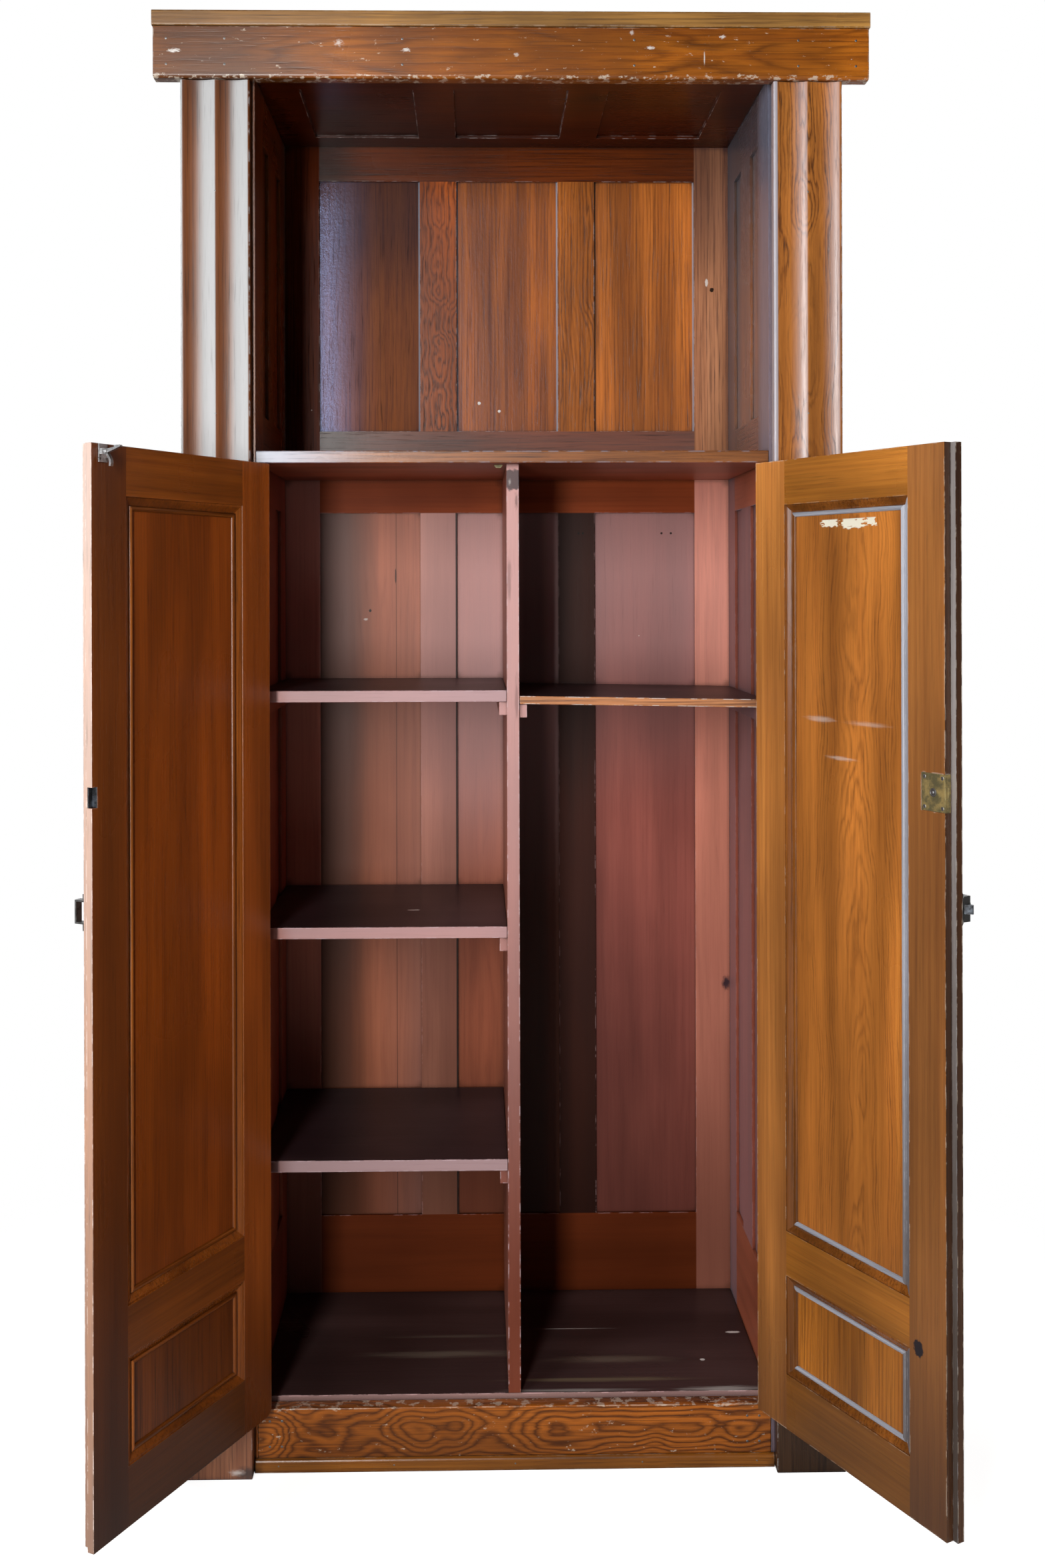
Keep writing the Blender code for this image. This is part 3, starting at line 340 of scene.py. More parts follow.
finishes = {
    "amber": {"pale": (0.4, 0.13, 0.014), "mid": (0.225, 0.059, 0.006), "dark": (0.06, 0.017, 0.003),
        "pore": (0.02, 0.008, 0.003), "worn": (0.74, 0.64, 0.52), "rough": 0.28, "gloss": 0.45,
        "rings": 0.5, "streak": 0.55, "pores": 0.5, "blotch": 0.4, "wear": 0.6, "reach": 0.0032,
        "specks": 0.3, "cornerShade": 0.8, "broad": 0.3, "fibre": 0.65, "gap": 0.006},
    # A pale bluish grey that stands for painted highlights on the right door's moulding, beads and rebate
    # step
    "bloomed": {"pale": (0.52, 0.53, 0.6), "mid": (0.35, 0.36, 0.41), "dark": (0.12, 0.1, 0.1),
        "pore": (0.06, 0.04, 0.03), "worn": (0.7, 0.72, 0.78), "rough": 0.3, "gloss": 0.5, "rings": 0.2,
        "streak": 0.6, "pores": 0.3, "blotch": 0.3, "wear": 0.5, "reach": 0.002, "specks": 0.2,
        "cornerShade": 0.3, "broad": 0.1, "fibre": 0.3, "gap": 0.006},
    "niche": {"pale": (0.4, 0.11, 0.016), "mid": (0.24, 0.056, 0.008), "dark": (0.05, 0.012, 0.003),
        "pore": (0.016, 0.006, 0.003), "worn": (0.62, 0.55, 0.55), "rough": 0.28, "gloss": 0.45,
        "rings": 0.6, "streak": 0.6, "pores": 0.75, "blotch": 0.45, "wear": 0.5, "reach": 0.0022,
        "specks": 0.7, "cornerShade": 0.85, "broad": 0.26, "fibre": 0.65, "gap": 0.006},
    "red": {"pale": (0.42, 0.115, 0.058), "mid": (0.27, 0.06, 0.034), "dark": (0.12, 0.024, 0.014),
        "pore": (0.05, 0.012, 0.005), "worn": (0.64, 0.4, 0.4), "rough": 0.4, "gloss": 0.16, "rings": 0.16,
        "streak": 0.3, "pores": 0.14, "blotch": 0.5, "wear": 0.45, "reach": 0.003, "specks": 0.25,
        "cornerShade": 0.8, "broad": 0.22, "fibre": 0.14, "gap": 0.009},
    "raw": {"pale": (0.3, 0.2, 0.115), "mid": (0.23, 0.145, 0.08), "dark": (0.12, 0.07, 0.037),
        "pore": (0.07, 0.042, 0.025), "worn": (0.4, 0.3, 0.2), "rough": 0.75, "gloss": 0.2, "rings": 0.5,
        "streak": 0.6, "pores": 0.45, "blotch": 0.3, "wear": 0.15, "reach": 0.002, "specks": 0.1,
        "cornerShade": 0.3, "broad": 0.2, "fibre": 0.4, "gap": 0.007},
}

# What a board is like unless its entry says otherwise; figure is how often its rings swell
plainBoard = {"door": None, "tone": (1.0, 1.0, 1.0), "figure": 1.7, "wander": 0.012, "tilt": 0.010,
              "swell": 0.012, "jag": 0.6, "even": 0.1, "streakWidth": 80.0, "fade": (), "bloom": ()}


def wood(finish, axes, pith, **changes):
    # axes name the way across a board, through it and along its grain
    return {**plainBoard, **finishes[finish], "finish": finish, "axes": axes, "pith": pith, **changes}


# A board's darkening ramps (fade) and its paling ramps each give an axis, where the change starts, where it
# is full, and its share. Most darkening ramps are painted shade: shadows of the sides, casing, shelves,
# divider and cornice, and dimmer lower compartments; the rest only darken the wood. The paling ramps are
# painted light and painted sheen where a board faced the lamps
doorGrain = {"rings": 0.12, "pores": 0.35, "streakWidth": 150.0}

boards = {
    "frieze": wood("amber", "zyx", (2.325, 0.02), gap=0.0075, tone=(1.15, 1.05, 0.7), swell=0.04,
        figure=2.2, wear=0.35, chips=("z", 2.2905, 0.01, 0.55), fade=(("x", -0.15, -0.5, 0.42),), rings=0.8,
        blotch=0.75, streak=0.75),
    "cap": wood("amber", "zyx", (2.3, 0.06), tone=(1.15, 1.79, 4.16), wear=0.15, blotch=0.6),
    # The casings' pale colour on flute faces turned to the left is a painted reflection of a window on that
    # side
    "leftCasing": wood("amber", "xyz", (-0.52, 0.1), tone=(0.42, 0.4, 0.9), gloss=0.35, rough=0.34,
        worn=(0.42, 0.42, 0.42), dust=((-1, 0, 0), -0.1, 0.14, 0.92)),
    "rightCasing": wood("amber", "xyz", (0.48, 0.002), gap=0.0055, swell=0.075, figure=3.4, jag=2.0,
        tone=(1.47, 1.62, 2.86), rings=1.0, fibre=0.3, pores=0.9, gloss=0.5, worn=(0.52, 0.44, 0.46),
        dust=((-1, 0, 0), -0.06, 0.36, 0.52)),
    "baseRail": wood("amber", "zyx", (0.06, 0.004), gap=0.0085, swell=0.1, figure=4.6,
        tone=(0.92, 0.8, 0.8), even=0.8, rings=1.0, streak=0.1, wear=0.25, chips=("z", 0.102, 0.005, 0.45),
        pores=0.4, blotch=0.25),
    "shoe": wood("amber", "zyx", (-0.05, 0.05), tone=(0.7, 0.74, 0.8), rings=0.3, wear=0.9),
    "leftPlinth": wood("niche", "xyz", (-0.4, 0.08), tone=(1.05, 1.6, 5.5), rings=0.3,
        worn=(0.62, 0.6, 0.58), wear=0.9),
    # The right plinth block's darker tone is painted shade, for the shadow of the open right door
    "rightPlinth": wood("niche", "xyz", (0.46, 0.08), tone=(0.144, 0.24, 0.72), rings=0.3,
        worn=(0.62, 0.6, 0.58), wear=0.9),
    # In the niche the darkening ramps are painted shade: under the cornice at the top, towards the rear of
    # the right side, and at the left of the back's lower rail, where the casing shades it; the paling ramps
    # at the front of the right side and at the left of the shelf's edge are painted light
    "nicheBackUp": wood("niche", "xyz", (0.5, 0.47), tone=(1.11, 1.79, 6.12), fade=(("z", 2.0, 2.2, 0.3),),
        rings=0.3, gloss=0.06),
    # The back's left stile in the niche has its own darker copy: painted shadow of the left side and casing
    "nicheBackLeftShaded": wood("niche", "xyz", (-0.5, 0.47), tone=(0.28, 0.16, 0.1), rings=0.4, gloss=0.03),
    "nicheMuntin": wood("niche", "xyz", (-0.13, 0.415), gap=0.01, tone=(1.5, 1.15, 0.7), swell=0.11,
        figure=6.5, jag=1.8, even=0.7, rings=1.0, pores=1.0, streak=0.25, gloss=0.2),
    "nicheMuntinRight": wood("niche", "xyz", (0.18, 0.43), tone=(1.38, 1.44, 1.1), swell=0.06, figure=3.0,
        jag=1.6, even=0.5, gloss=0.25, rings=0.8, pores=1.0, streak=0.3),
    "nicheBackAcross": wood("niche", "zyx", (2.1, 0.6), tone=(0.54, 0.38, 0.3),
        fade=(("x", -0.24, -0.34, 0.8),), rings=0.3, gloss=0.2, bloom=(("z", 1.85, 1.72, 0.1),)),
    "leftNicheUp": wood("niche", "yxz", (0.16, 0.6), rings=0.4, gloss=0.2),
    "leftNicheAcross": wood("niche", "zxy", (2.0, 0.7), rings=0.4, gloss=0.2),
    "rightNicheUp": wood("niche", "yxz", (0.16, 0.6), tone=(0.805, 0.91, 1.36), haze=0.14, rings=0.4,
        worn=(0.25, 0.33, 0.5), bloom=(("y", 0.11, 0.03, 0.34),),
        fade=(("y", 0.12, 0.36, 0.4), ("z", 1.9, 2.25, 0.8))),
    "rightNicheAcross": wood("niche", "zxy", (2.0, 0.7), tone=(0.7, 0.65, 0.8), haze=0.12, rings=0.4,
        fade=(("y", 0.12, 0.36, 0.7), ("z", 1.9, 2.25, 0.8))),
    "nicheLeftPanel": wood("niche", "xyz", (-0.26, 0.5), tone=(1.11, 1.21, 0.702), rough=0.17, crackle=0.7,
        rings=0.3, gloss=0.5, fade=(("z", 1.95, 2.16, 0.6),), glint=(0.4, 0.56, 1.0),
        polish=("x", -0.23, -0.36)),
    "nicheCentrePanel": wood("niche", "xyz", (0.02, 0.45), gap=0.0066, swell=0.028, tone=(1.46, 1.49, 1.05),
        bands=0.5, glint=(0.6, 0.75, 1.0), crackle=0.2, rings=0.4, gloss=0.3),
    "nicheRightPanel": wood("niche", "xyz", (0.255, 0.43), gap=0.0072, swell=0.04, tone=(1.46, 1.57, 1.68),
        even=0.15, rings=0.6, streak=0.5, bands=0.3, gloss=0.3),
    "ceiling": wood("niche", "yzx", (0.2, 2.4), tone=(0.24, 0.132, 0.08), rings=0.3, gloss=0.2),
    "nicheShelf": wood("niche", "yzx", (0.15, 1.6)),
    "nicheShelfFront": wood("niche", "zyx", (1.6, 0.05), tone=(0.9, 1.2, 2.5), wear=0.5, reach=0.004,
        worn=(0.27, 0.31, 0.41), bloom=(("x", -0.2, -0.42, 0.85),)),
    # In the cupboard the back boards darken lower down, painted shade, and pale higher up, painted sheen; the
    # left panel's darkening at its left edge is painted shadow of the left side, and the centre panel's
    # darkening right of the divider is the divider's painted shadow
    "redBackUp": wood("red", "xyz", (0.48, 0.6), tone=(1.79, 2.46, 3.24), fade=(("z", 0.9, 0.15, 0.75),),
        bloom=(("z", 1.0, 1.5, 0.22),)),
    "redMuntin": wood("red", "xyz", (-0.05, 0.6), tone=(1.4, 2.06, 2.59), fade=(("z", 1.1, 0.15, 0.8),),
        bloom=(("z", 0.8, 1.4, 0.45),)),
    # The right muntin's darker copy is painted shadow of the divider
    "redMuntinRightShaded": wood("red", "xyz", (0.05, 0.6), tone=(0.188, 0.143, 0.0992),
        fade=(("z", 1.1, 0.15, 0.8), ("z", 0.95, 1.25, 0.5))),
    "redBackAcross": wood("red", "zyx", (0.1, 0.6), tone=(0.86, 0.66, 0.36), fade=(("z", 0.9, 0.15, 0.8),),
        gloss=0.05),
    "leftRedUp": wood("red", "yxz", (0.15, 0.7)),
    "rightRedUp": wood("red", "yxz", (0.15, 0.7), tone=(0.62, 0.58, 0.66), haze=0.16),
    "redSideAcross": wood("red", "zxy", (0.2, 0.7)),
    "redLeftPanel": wood("red", "xyz", (-0.25, 0.44), gap=0.015, swell=0.06, tone=(1.14, 1.33, 1.24),
        bands=0.12, fade=(("z", 0.95, 0.15, 0.7), ("x", -0.24, -0.315, 0.9)),
        bloom=(("z", 1.0, 1.5, 0.06), ("x", -0.3, -0.1, 0.16)), rings=0.22),
    "redCentrePanel": wood("red", "xyz", (-0.05, 0.44), gap=0.015, tone=(1.21, 1.29, 1.23), swell=0.06,
        bands=0.12, fade=(("z", 1.1, 0.15, 0.8), ("x", -0.008, 0.008, 0.75)),
        bloom=(("z", 0.8, 1.3, 0.66),), rings=0.25),
    "redRightPanel": wood("red", "xyz", (0.27, 0.5), gap=0.011, tone=(0.883, 0.938, 1.38), bands=0.15,
        fade=(("z", 1.0, 0.15, 0.75),), bloom=(("z", 1.0, 1.5, 0.44),)),
    "divider": wood("red", "yxz", (0.2, 0.1), tone=(1, 1.3, 1.7)),
    # The divider's front and the shelf edges pale higher up, the shelf edges also at their left end, and they
    # darken lower down: painted light and painted shade
    "dividerFront": wood("red", "xyz", (0.05, 0.1), wear=0.9, worn=(0.66, 0.5, 0.52),
        bloom=(("z", 0.2, 1.5, 0.5),), fade=(("z", 1.0, 0.2, 0.35),)),
    "shelf": wood("red", "yzx", (0.2, 0.2)),
    "shelfTop": wood("red", "yzx", (0.2, 0.2), tone=(0.11, 0.22, 0.5)),
    "shelfFront": wood("red", "zyx", (0.2, 0.2), wear=0.6, worn=(0.58, 0.43, 0.46),
        bloom=(("x", -0.42, -0.36, 0.5), ("z", 1.0, 1.3, 0.2)), fade=(("z", 1.25, 0.35, 0.78),)),
    "hatShelfFront": wood("niche", "zyx", (0.2, 0.2), tone=(1.38, 2.17, 6.08), wear=0.9,
        worn=(0.62, 0.55, 0.5), fade=(("x", 0.36, 0.425, 0.6),)),
    "cupboardFloor": wood("red", "yzx", (0.2, 0.02), tone=(0.16, 0.32, 0.6), rough=0.3),
    "floorFront": wood("red", "zyx", (0.2, 0.2), tone=(0.413, 0.84, 1.2), wear=0.8,
        bloom=(("z", 0.0, 0.1, 0.3),)),
    # The left door's boards are toned darker and redder and the right door's brighter: partly the wood's own
    # colour, and partly painted shade and painted light for how each door faced the light
    "leftStile": wood("amber", "xyz", (0.2, 0.3), door="left", tone=(1.21, 0.899, 1.04), fibre=0.25,
        wear=0.12, fade=(("z", 1.3, 0.0, 0.42), ("z", 0.4, 0.1, 0.6), ("x", 0.2, 0.4, 0.6)), **doorGrain),
    "leftRail": wood("amber", "zyx", (1.0, 0.3), door="left", tone=(0.86, 0.7, 0.7), fibre=0.25, wear=0.12,
        fade=(("z", 1.3, 0.0, 0.42), ("z", 0.4, 0.1, 0.6)), **doorGrain),
    "leftPanel": wood("amber", "xyz", (0.22, 0.04), door="left", gap=0.0055, swell=0.035, tilt=0.03,
        tone=(0.892, 0.6, 0.49), rings=0.3, fibre=0.25, streak=0.4, wear=0.1),
    "leftLowPanel": wood("amber", "xyz", (0.16, 0.07), door="left", gap=0.007, tone=(0.554, 0.409, 0.385)),
    # The left door's free edge is pale: worn wood, and painted light where the edge faced the light
    "leftEdge": wood("amber", "yxz", (0.1, 0.3), door="left", wear=0.9, rings=0.3, worn=(0.8, 0.66, 0.6),
        bloom=(("z", -1.0, 0.1, 0.22), ("z", 0.3, 1.6, 0.5))),
    # The left moulding has a darker copy, painted shade, on the hinge side and along the top and bottom, and
    # a lit copy, a painted highlight, on the free side
    "leftMould": wood("amber", "xyz", (0.2, 0.3), door="left", tone=(0.62, 0.5, 0.45), rings=0.3, wear=0.0),
    "leftMouldLit": wood("amber", "xyz", (0.2, 0.3), door="left", tone=(1.5, 1.35, 1.6), rings=0.3,
        wear=0.1),
    "leftBeadAcross": wood("amber", "zyx", (0.2, 0.3), door="left", tone=(0.66, 0.54, 0.5), rings=0.3,
        wear=0.0),
    "leftStep": wood("amber", "yxz", (0.1, 0.3), door="left", tone=(0.28, 0.36, 1.4), wear=0.9, rings=0.3),
    "rightStile": wood("amber", "xyz", (-0.2, 0.3), door="right", tone=(1.72, 2.05, 4.18), fibre=0.3,
        fade=(("x", -0.1, -0.38, 0.45), ("z", 1.3, 0.0, 0.28), ("z", 0.4, 0.1, 0.52)), wear=0.5,
        **doorGrain),
    "rightRail": wood("amber", "zyx", (1.0, 0.3), door="right", tone=(1.26, 1.44, 1.92), fibre=0.3,
        wear=0.3, fade=(("z", 1.3, 0.0, 0.3), ("z", 0.4, 0.1, 0.52)), **doorGrain),
    "rightPanel": wood("amber", "xyz", (-0.235, 0.03), door="right", gap=0.0046, swell=0.05, figure=3.0,
        tilt=0.05, jag=1.5, tone=(1.44, 1.54, 2.47), fibre=0.3, streak=0.4, fade=(("z", 1.3, 0.2, 0.2),)),
    "rightLowPanel": wood("amber", "xyz", (-0.22, 0.05), door="right", gap=0.0074, tone=(1.2, 1.3, 1.6),
        swell=0.03),
    # The right door's free edge is toned dark, painted shade, over its wear
    "rightEdge": wood("amber", "yxz", (0.1, 0.3), door="right", tone=(0.28, 0.36, 1.4), wear=0.9,
        rings=0.3),
    # The right moulding has a darker copy, painted shade, on the hinge side and along the frame's top and
    # bottom, and pale bluish copies, painted highlights, on the free side and along the beads' top and bottom
    "rightMould": wood("amber", "xyz", (0.2, 0.3), door="right", tone=(0.62, 0.62, 0.9), rings=0.3,
        wear=0.05),
    "rightMouldLit": wood("bloomed", "xyz", (0.2, 0.3), door="right", fade=(("z", 1.0, 0.4, 0.75),)),
    "rightBeadAcross": wood("bloomed", "zyx", (0.2, 0.3), door="right", tone=(0.7, 0.7, 0.7)),
    # The rebate step's pale bluish grey is a painted highlight
    "rightStep": wood("bloomed", "yxz", (0.1, 0.3), door="right", tone=(0.6, 0.525, 0.442),
        fade=(("z", 1.3, 0.2, 0.85),)),
    "rawUp": wood("raw", "xyz", (0.1, 0.6), wander=0.014),
}


# Marks that use has left, and painted shadow and highlight lines, placed and sized across the grain and along
# it;
# between is through the board
paper = (0.80, 0.76, 0.62)
chalk = (0.74, 0.70, 0.66)
# A dark colour for scorch marks and nail holes, and also for painted shadow lines and a painted shadow band
darkMarkAndShadow = (0.006, 0.004, 0.003)
# A pale bluish colour for painted highlight lines along the right edges of the niche panels
paintedEdgeHighlight = (0.34, 0.38, 0.46)
plainMark = {"amount": 0.95, "soft": 0.25, "ragged": 0.45, "torn": False, "straightTop": 0.7, "between": None}


def mark(across, along, wide, tall, colour, **changes):
    return {**plainMark, "at": (across, along), "size": (wide, tall), "colour": colour, **changes}


marks = {
    "rightPanel": [
        mark(-0.1734, 1.555, 0.02, 0.006, paper, between=(0.016, 1), torn=True, ragged=1.1),
        mark(-0.2278, 1.553, 0.027, 0.008, paper, between=(0.016, 1), torn=True, ragged=0.9),
        mark(-0.2658, 1.5545, 0.011, 0.0065, paper, between=(0.016, 1), torn=True, ragged=1.1),
        mark(-0.15, 1.249, 0.045, 0.007, chalk, amount=0.3, soft=0.9, between=(0.016, 1)),
        mark(-0.26, 1.248, 0.06, 0.005, chalk, amount=0.22, soft=0.9, between=(0.016, 1)),
        mark(-0.197, 1.1915, 0.042, 0.004, chalk, amount=0.3, soft=0.8, between=(0.016, 1)),
    ],
    "rightStile": [
        mark(-0.3681, 0.356, 0.011, 0.013, (0.006, 0.009, 0.016), between=(0.02, 1)),
    ],
    "nicheBackUp": [
        mark(0.3933, 2.0282, 0.0045, 0.0045, darkMarkAndShadow),
        mark(0.383, 2.042, 0.003, 0.008, chalk, amount=0.7),
    ],
    "ceiling": [
        mark(0.0963, 0.1474, 0.04, 0.05, darkMarkAndShadow, soft=1.2),
    ],
    "redMuntin": [
        # The dark line along the muntin's right edge is its joint drawn as painted shadow
        mark(-0.0986, 0.9, 0.0017, 3.0, darkMarkAndShadow, ragged=0.1),
    ],
    "redMuntinRightShaded": [
        mark(0.1358, 1.5613, 0.0022, 0.0022, darkMarkAndShadow),
        mark(0.144, 1.5613, 0.0022, 0.0022, darkMarkAndShadow),
    ],
    "redRightPanel": [
        mark(0.296, 1.5613, 0.0024, 0.0024, darkMarkAndShadow),
        mark(0.314, 1.5613, 0.0024, 0.0024, darkMarkAndShadow),
    ],
    "redBackUp": [
        mark(0.418, 0.6976, 0.011, 0.017, (0.02, 0.012, 0.02), soft=0.7),
    ],
    "redLeftPanel": [
        mark(-0.2723, 1.3974, 0.0055, 0.003, chalk, amount=0.6, soft=0.7),
        mark(-0.264, 1.414, 0.0026, 0.0032, darkMarkAndShadow),
        mark(-0.215, 1.48, 0.0018, 0.016, darkMarkAndShadow, amount=0.8),
        mark(-0.214, 0.9, 0.0008, 3.0, darkMarkAndShadow, amount=0.6, ragged=0.1),
    ],
    "shelfTop": [
        mark(0.1559, -0.1721, 0.004, 0.012, chalk, between=(0.85, 0.95)),
    ],
    "rightNicheUp": [
        mark(0.146, 1.79, 0.0012, 0.03, darkMarkAndShadow, ragged=0.2),
    ],
    "dividerFront": [
        mark(0.0, 1.637, 0.02, 0.019, (0.03, 0.032, 0.036), amount=0.85),
        mark(-0.005, 1.633, 0.003, 0.0075, chalk, amount=0.35, soft=0.9),
        mark(0.006, 1.6, 0.004, 0.02, darkMarkAndShadow, amount=0.5, soft=0.9, ragged=0.9),
        mark(-0.006, 1.47, 0.005, 0.06, darkMarkAndShadow, amount=0.35, soft=0.9, ragged=0.9),
        mark(0.006, 1.27, 0.005, 0.05, darkMarkAndShadow, amount=0.35, soft=0.9, ragged=0.9),
    ],
    "leftPlinth": [
        mark(-0.435, 0.01, 0.028, 0.016, (0.03, 0.03, 0.032), amount=0.8, soft=0.8),
        mark(-0.456, 0.012, 0.016, 0.007, chalk, amount=0.5, soft=0.9),
    ],
    "nicheCentrePanel": [
        # Painted shadow along the panel's left edge and a painted highlight along its right edge
        mark(-0.0955, 2.0, 0.002, 3.0, darkMarkAndShadow, amount=0.9, ragged=0.15),
        mark(0.0955, 2.0, 0.0016, 3.0, paintedEdgeHighlight, amount=0.6, ragged=0.15),
        mark(-0.054, 1.8114, 0.0036, 0.0036, chalk),
        mark(-0.0157, 1.796, 0.0032, 0.0032, chalk),
    ],
    "frieze": [
        mark(2.3335, -0.552, 0.004, 0.011, chalk, amount=0.8, soft=0.6, ragged=1.2),
        mark(2.3467, -0.284, 0.0065, 0.0085, chalk, amount=0.6, soft=0.8, ragged=1.0),
        mark(2.3357, -0.174, 0.004, 0.008, chalk, amount=0.7, soft=0.6, ragged=1.2),
        mark(2.3653, 0.196, 0.005, 0.005, chalk, amount=0.5, soft=0.8, ragged=1.0),
        mark(2.3403, 0.2266, 0.0032, 0.0075, chalk, amount=0.8, soft=0.6, ragged=1.2),
        mark(2.3593, 0.345, 0.0032, 0.0055, chalk, amount=0.7, soft=0.6, ragged=1.2),
        mark(2.324, 0.3153, 0.014, 0.0014, chalk, amount=0.7, soft=0.6),
        mark(2.3285, 0.0068, 0.0036, 0.005, chalk, amount=0.5, soft=0.6, ragged=1.2),
    ],
    "rightCasing": [
        # A painted highlight strip down the casing's inner bead
        mark(0.4335, 1.2, 0.0045, 3.0, (0.46, 0.46, 0.52), amount=0.8, soft=0.4, ragged=0.1),
    ],
    "redCentrePanel": [
        # A dark band right of the divider: the divider's painted shadow
        mark(0.046, 0.9, 0.05, 3.0, darkMarkAndShadow, amount=0.6, soft=0.7, ragged=0.1),
    ],
    "nicheLeftPanel": [
        # A painted highlight along the panel's right edge
        mark(-0.1685, 2.0, 0.0016, 3.0, paintedEdgeHighlight, amount=0.6, ragged=0.15),
    ],
    "nicheRightPanel": [
        # Painted shadow along the panel's left edge and a painted highlight along its right edge
        mark(0.1685, 2.0, 0.002, 3.0, darkMarkAndShadow, amount=0.9, ragged=0.15),
        mark(0.3575, 2.0, 0.0016, 3.0, paintedEdgeHighlight, amount=0.6, ragged=0.15),
    ],
    "cupboardFloor": [
        mark(0.15, -0.12, 0.018, 0.17, (0.2, 0.16, 0.12), amount=0.55, soft=0.9),
        mark(0.215, -0.1, 0.008, 0.16, (0.16, 0.13, 0.1), amount=0.45, soft=0.9),
        mark(0.125, 0.17, 0.018, 0.15, (0.2, 0.15, 0.11), amount=0.5, soft=0.9),
        mark(0.055, 0.15, 0.01, 0.22, (0.22, 0.17, 0.1), amount=0.55, soft=0.9),
        mark(0.24, 0.11, 0.0025, 0.09, chalk, amount=0.5, soft=0.9),
        mark(0.02, 0.35, 0.012, 0.09, chalk, amount=0.5, soft=0.9),
        mark(0.02, 0.1, 0.007, 0.14, chalk, amount=0.35, soft=0.9),
        mark(0.12, 0.33, 0.004, 0.005, chalk),
        mark(0.22, 0.4, 0.004, 0.014, chalk),
    ],
}


# The noises in a wood, and from where to where in its field each of its layers shows
woodNoise = {
    "stray": {"stretch": (34.0, 34.0, 2.6), "detail": 3.0},
    "jag": {"stretch": (170.0, 170.0, 20.0), "detail": 3.0, "roughness": 0.6},
    "pores": {"stretch": (520.0, 520.0, 16.0)},
    "blotch": {"stretch": (3.1, 3.1, 1.6), "detail": 3.0},
    "broad": {"stretch": (11.0, 11.0, 1.1)},
    "fibre": {"stretch": (330.0, 330.0, 5.0), "detail": 4.0, "roughness": 0.7},
    "bands": {"stretch": (26.0, 26.0, 0.9)},
    "broken": {"stretch": (38.0, 38.0, 38.0), "detail": 4.0, "roughness": 0.65},
    "flakes": {"stretch": (64.0, 64.0, 120.0), "detail": 5.0, "roughness": 0.7},
    "peel": {"stretch": (140.0, 140.0, 90.0)},
    "crackle": {"stretch": (130.0, 130.0, 95.0), "detail": 4.0, "roughness": 0.7},
    "wobble": {"stretch": (2.1, 2.1, 3.3), "detail": 3.0},
}
woodShow = {
    "uneven": (0.34, 0.64), "streak": (0.30, 0.72), "broad": (0.34, 0.66), "fibre": (0.46, 0.70),
    "bands": (0.42, 0.60), "blotch": (0.35, 0.70), "pores": (0.55, 0.72), "cornerShade": (0.80, 0.35),
    "edge": (0.004, 0.06), "open": (0.60, 0.90), "broken": (0.49, 0.58), "chips": (0.645, 0.69),
}
woodSetup = {
    "seedShift": (3.7, 1.3, 2.1), "sway": 6.0, "heave": 5.0, "stray": 2.2, "ringTurn": 0.45,
    "lengthTurn": 3.0, "streakLength": 1.4, "streakNoise": {"detail": 5.0, "roughness": 0.65},
    "ringPores": (0.7, 0.3),
    "ring": ((0.0, 0.55), (0.16, 1.0), (0.40, 0.22), (0.72, 0.0), (1.0, 0.55)),
    "cornerReach": 0.016, "edgePull": 0.12, "dullest": 0.55,
    "speckScale": 16.0, "speckShare": 0.16, "speckSize": (0.022, 0.008), "speckColour": (0.80, 0.75, 0.68),
    "hazeRough": 0.35, "hazeTint": (0.62, 0.76, 1.0, 1.0), "bump": (0.35, 0.0006),
    "rough": {"blotch": 0.16, "rubbed": 0.30, "pores": 0.15},
    "height": {"peel": 0.35, "pores": -0.8, "rings": -0.15, "crackle": 4.0},
}


def addMarks(tree, colour, spots, across, through, along):
    for index, spot in enumerate(spots):
        sideways, lengthways = [
            mathOf(tree, "DIVIDE", mathOf(tree, "SUBTRACT", field, middle), half)
            for field, middle, half in zip((across, along), spot["at"], spot["size"])]
        ragged = spot["ragged"]
        wobble = noiseOf(tree, joinOf(tree, sideways, lengthways, index), **woodNoise["wobble"])
        if spot["torn"]:
            away = mathOf(tree, "MAXIMUM", *[mathOf(tree, "ABSOLUTE", way) for way in (sideways, lengthways)])
            ragged = timesOf(tree, mathOf(tree, "LESS_THAN", lengthways, spot["straightTop"]), ragged)
        else:
            away = lengthOf(tree, sideways, lengthways)
        away = addOf(tree, timesOf(tree, mathOf(tree, "SUBTRACT", wobble, 0.5), 2.0), ragged, away)
        shown = rangeOf(tree, away, 1.0, 1.0 - spot["soft"], 0.0, spot["amount"])
        if spot["between"]:
            low, high = spot["between"]
            over, under = mathOf(tree, "GREATER_THAN", through, low), mathOf(tree, "LESS_THAN", through, high)
            shown = timesOf(tree, shown, timesOf(tree, over, under))
        colour = mixOf(tree, shown, colour, spot["colour"])
    return colour


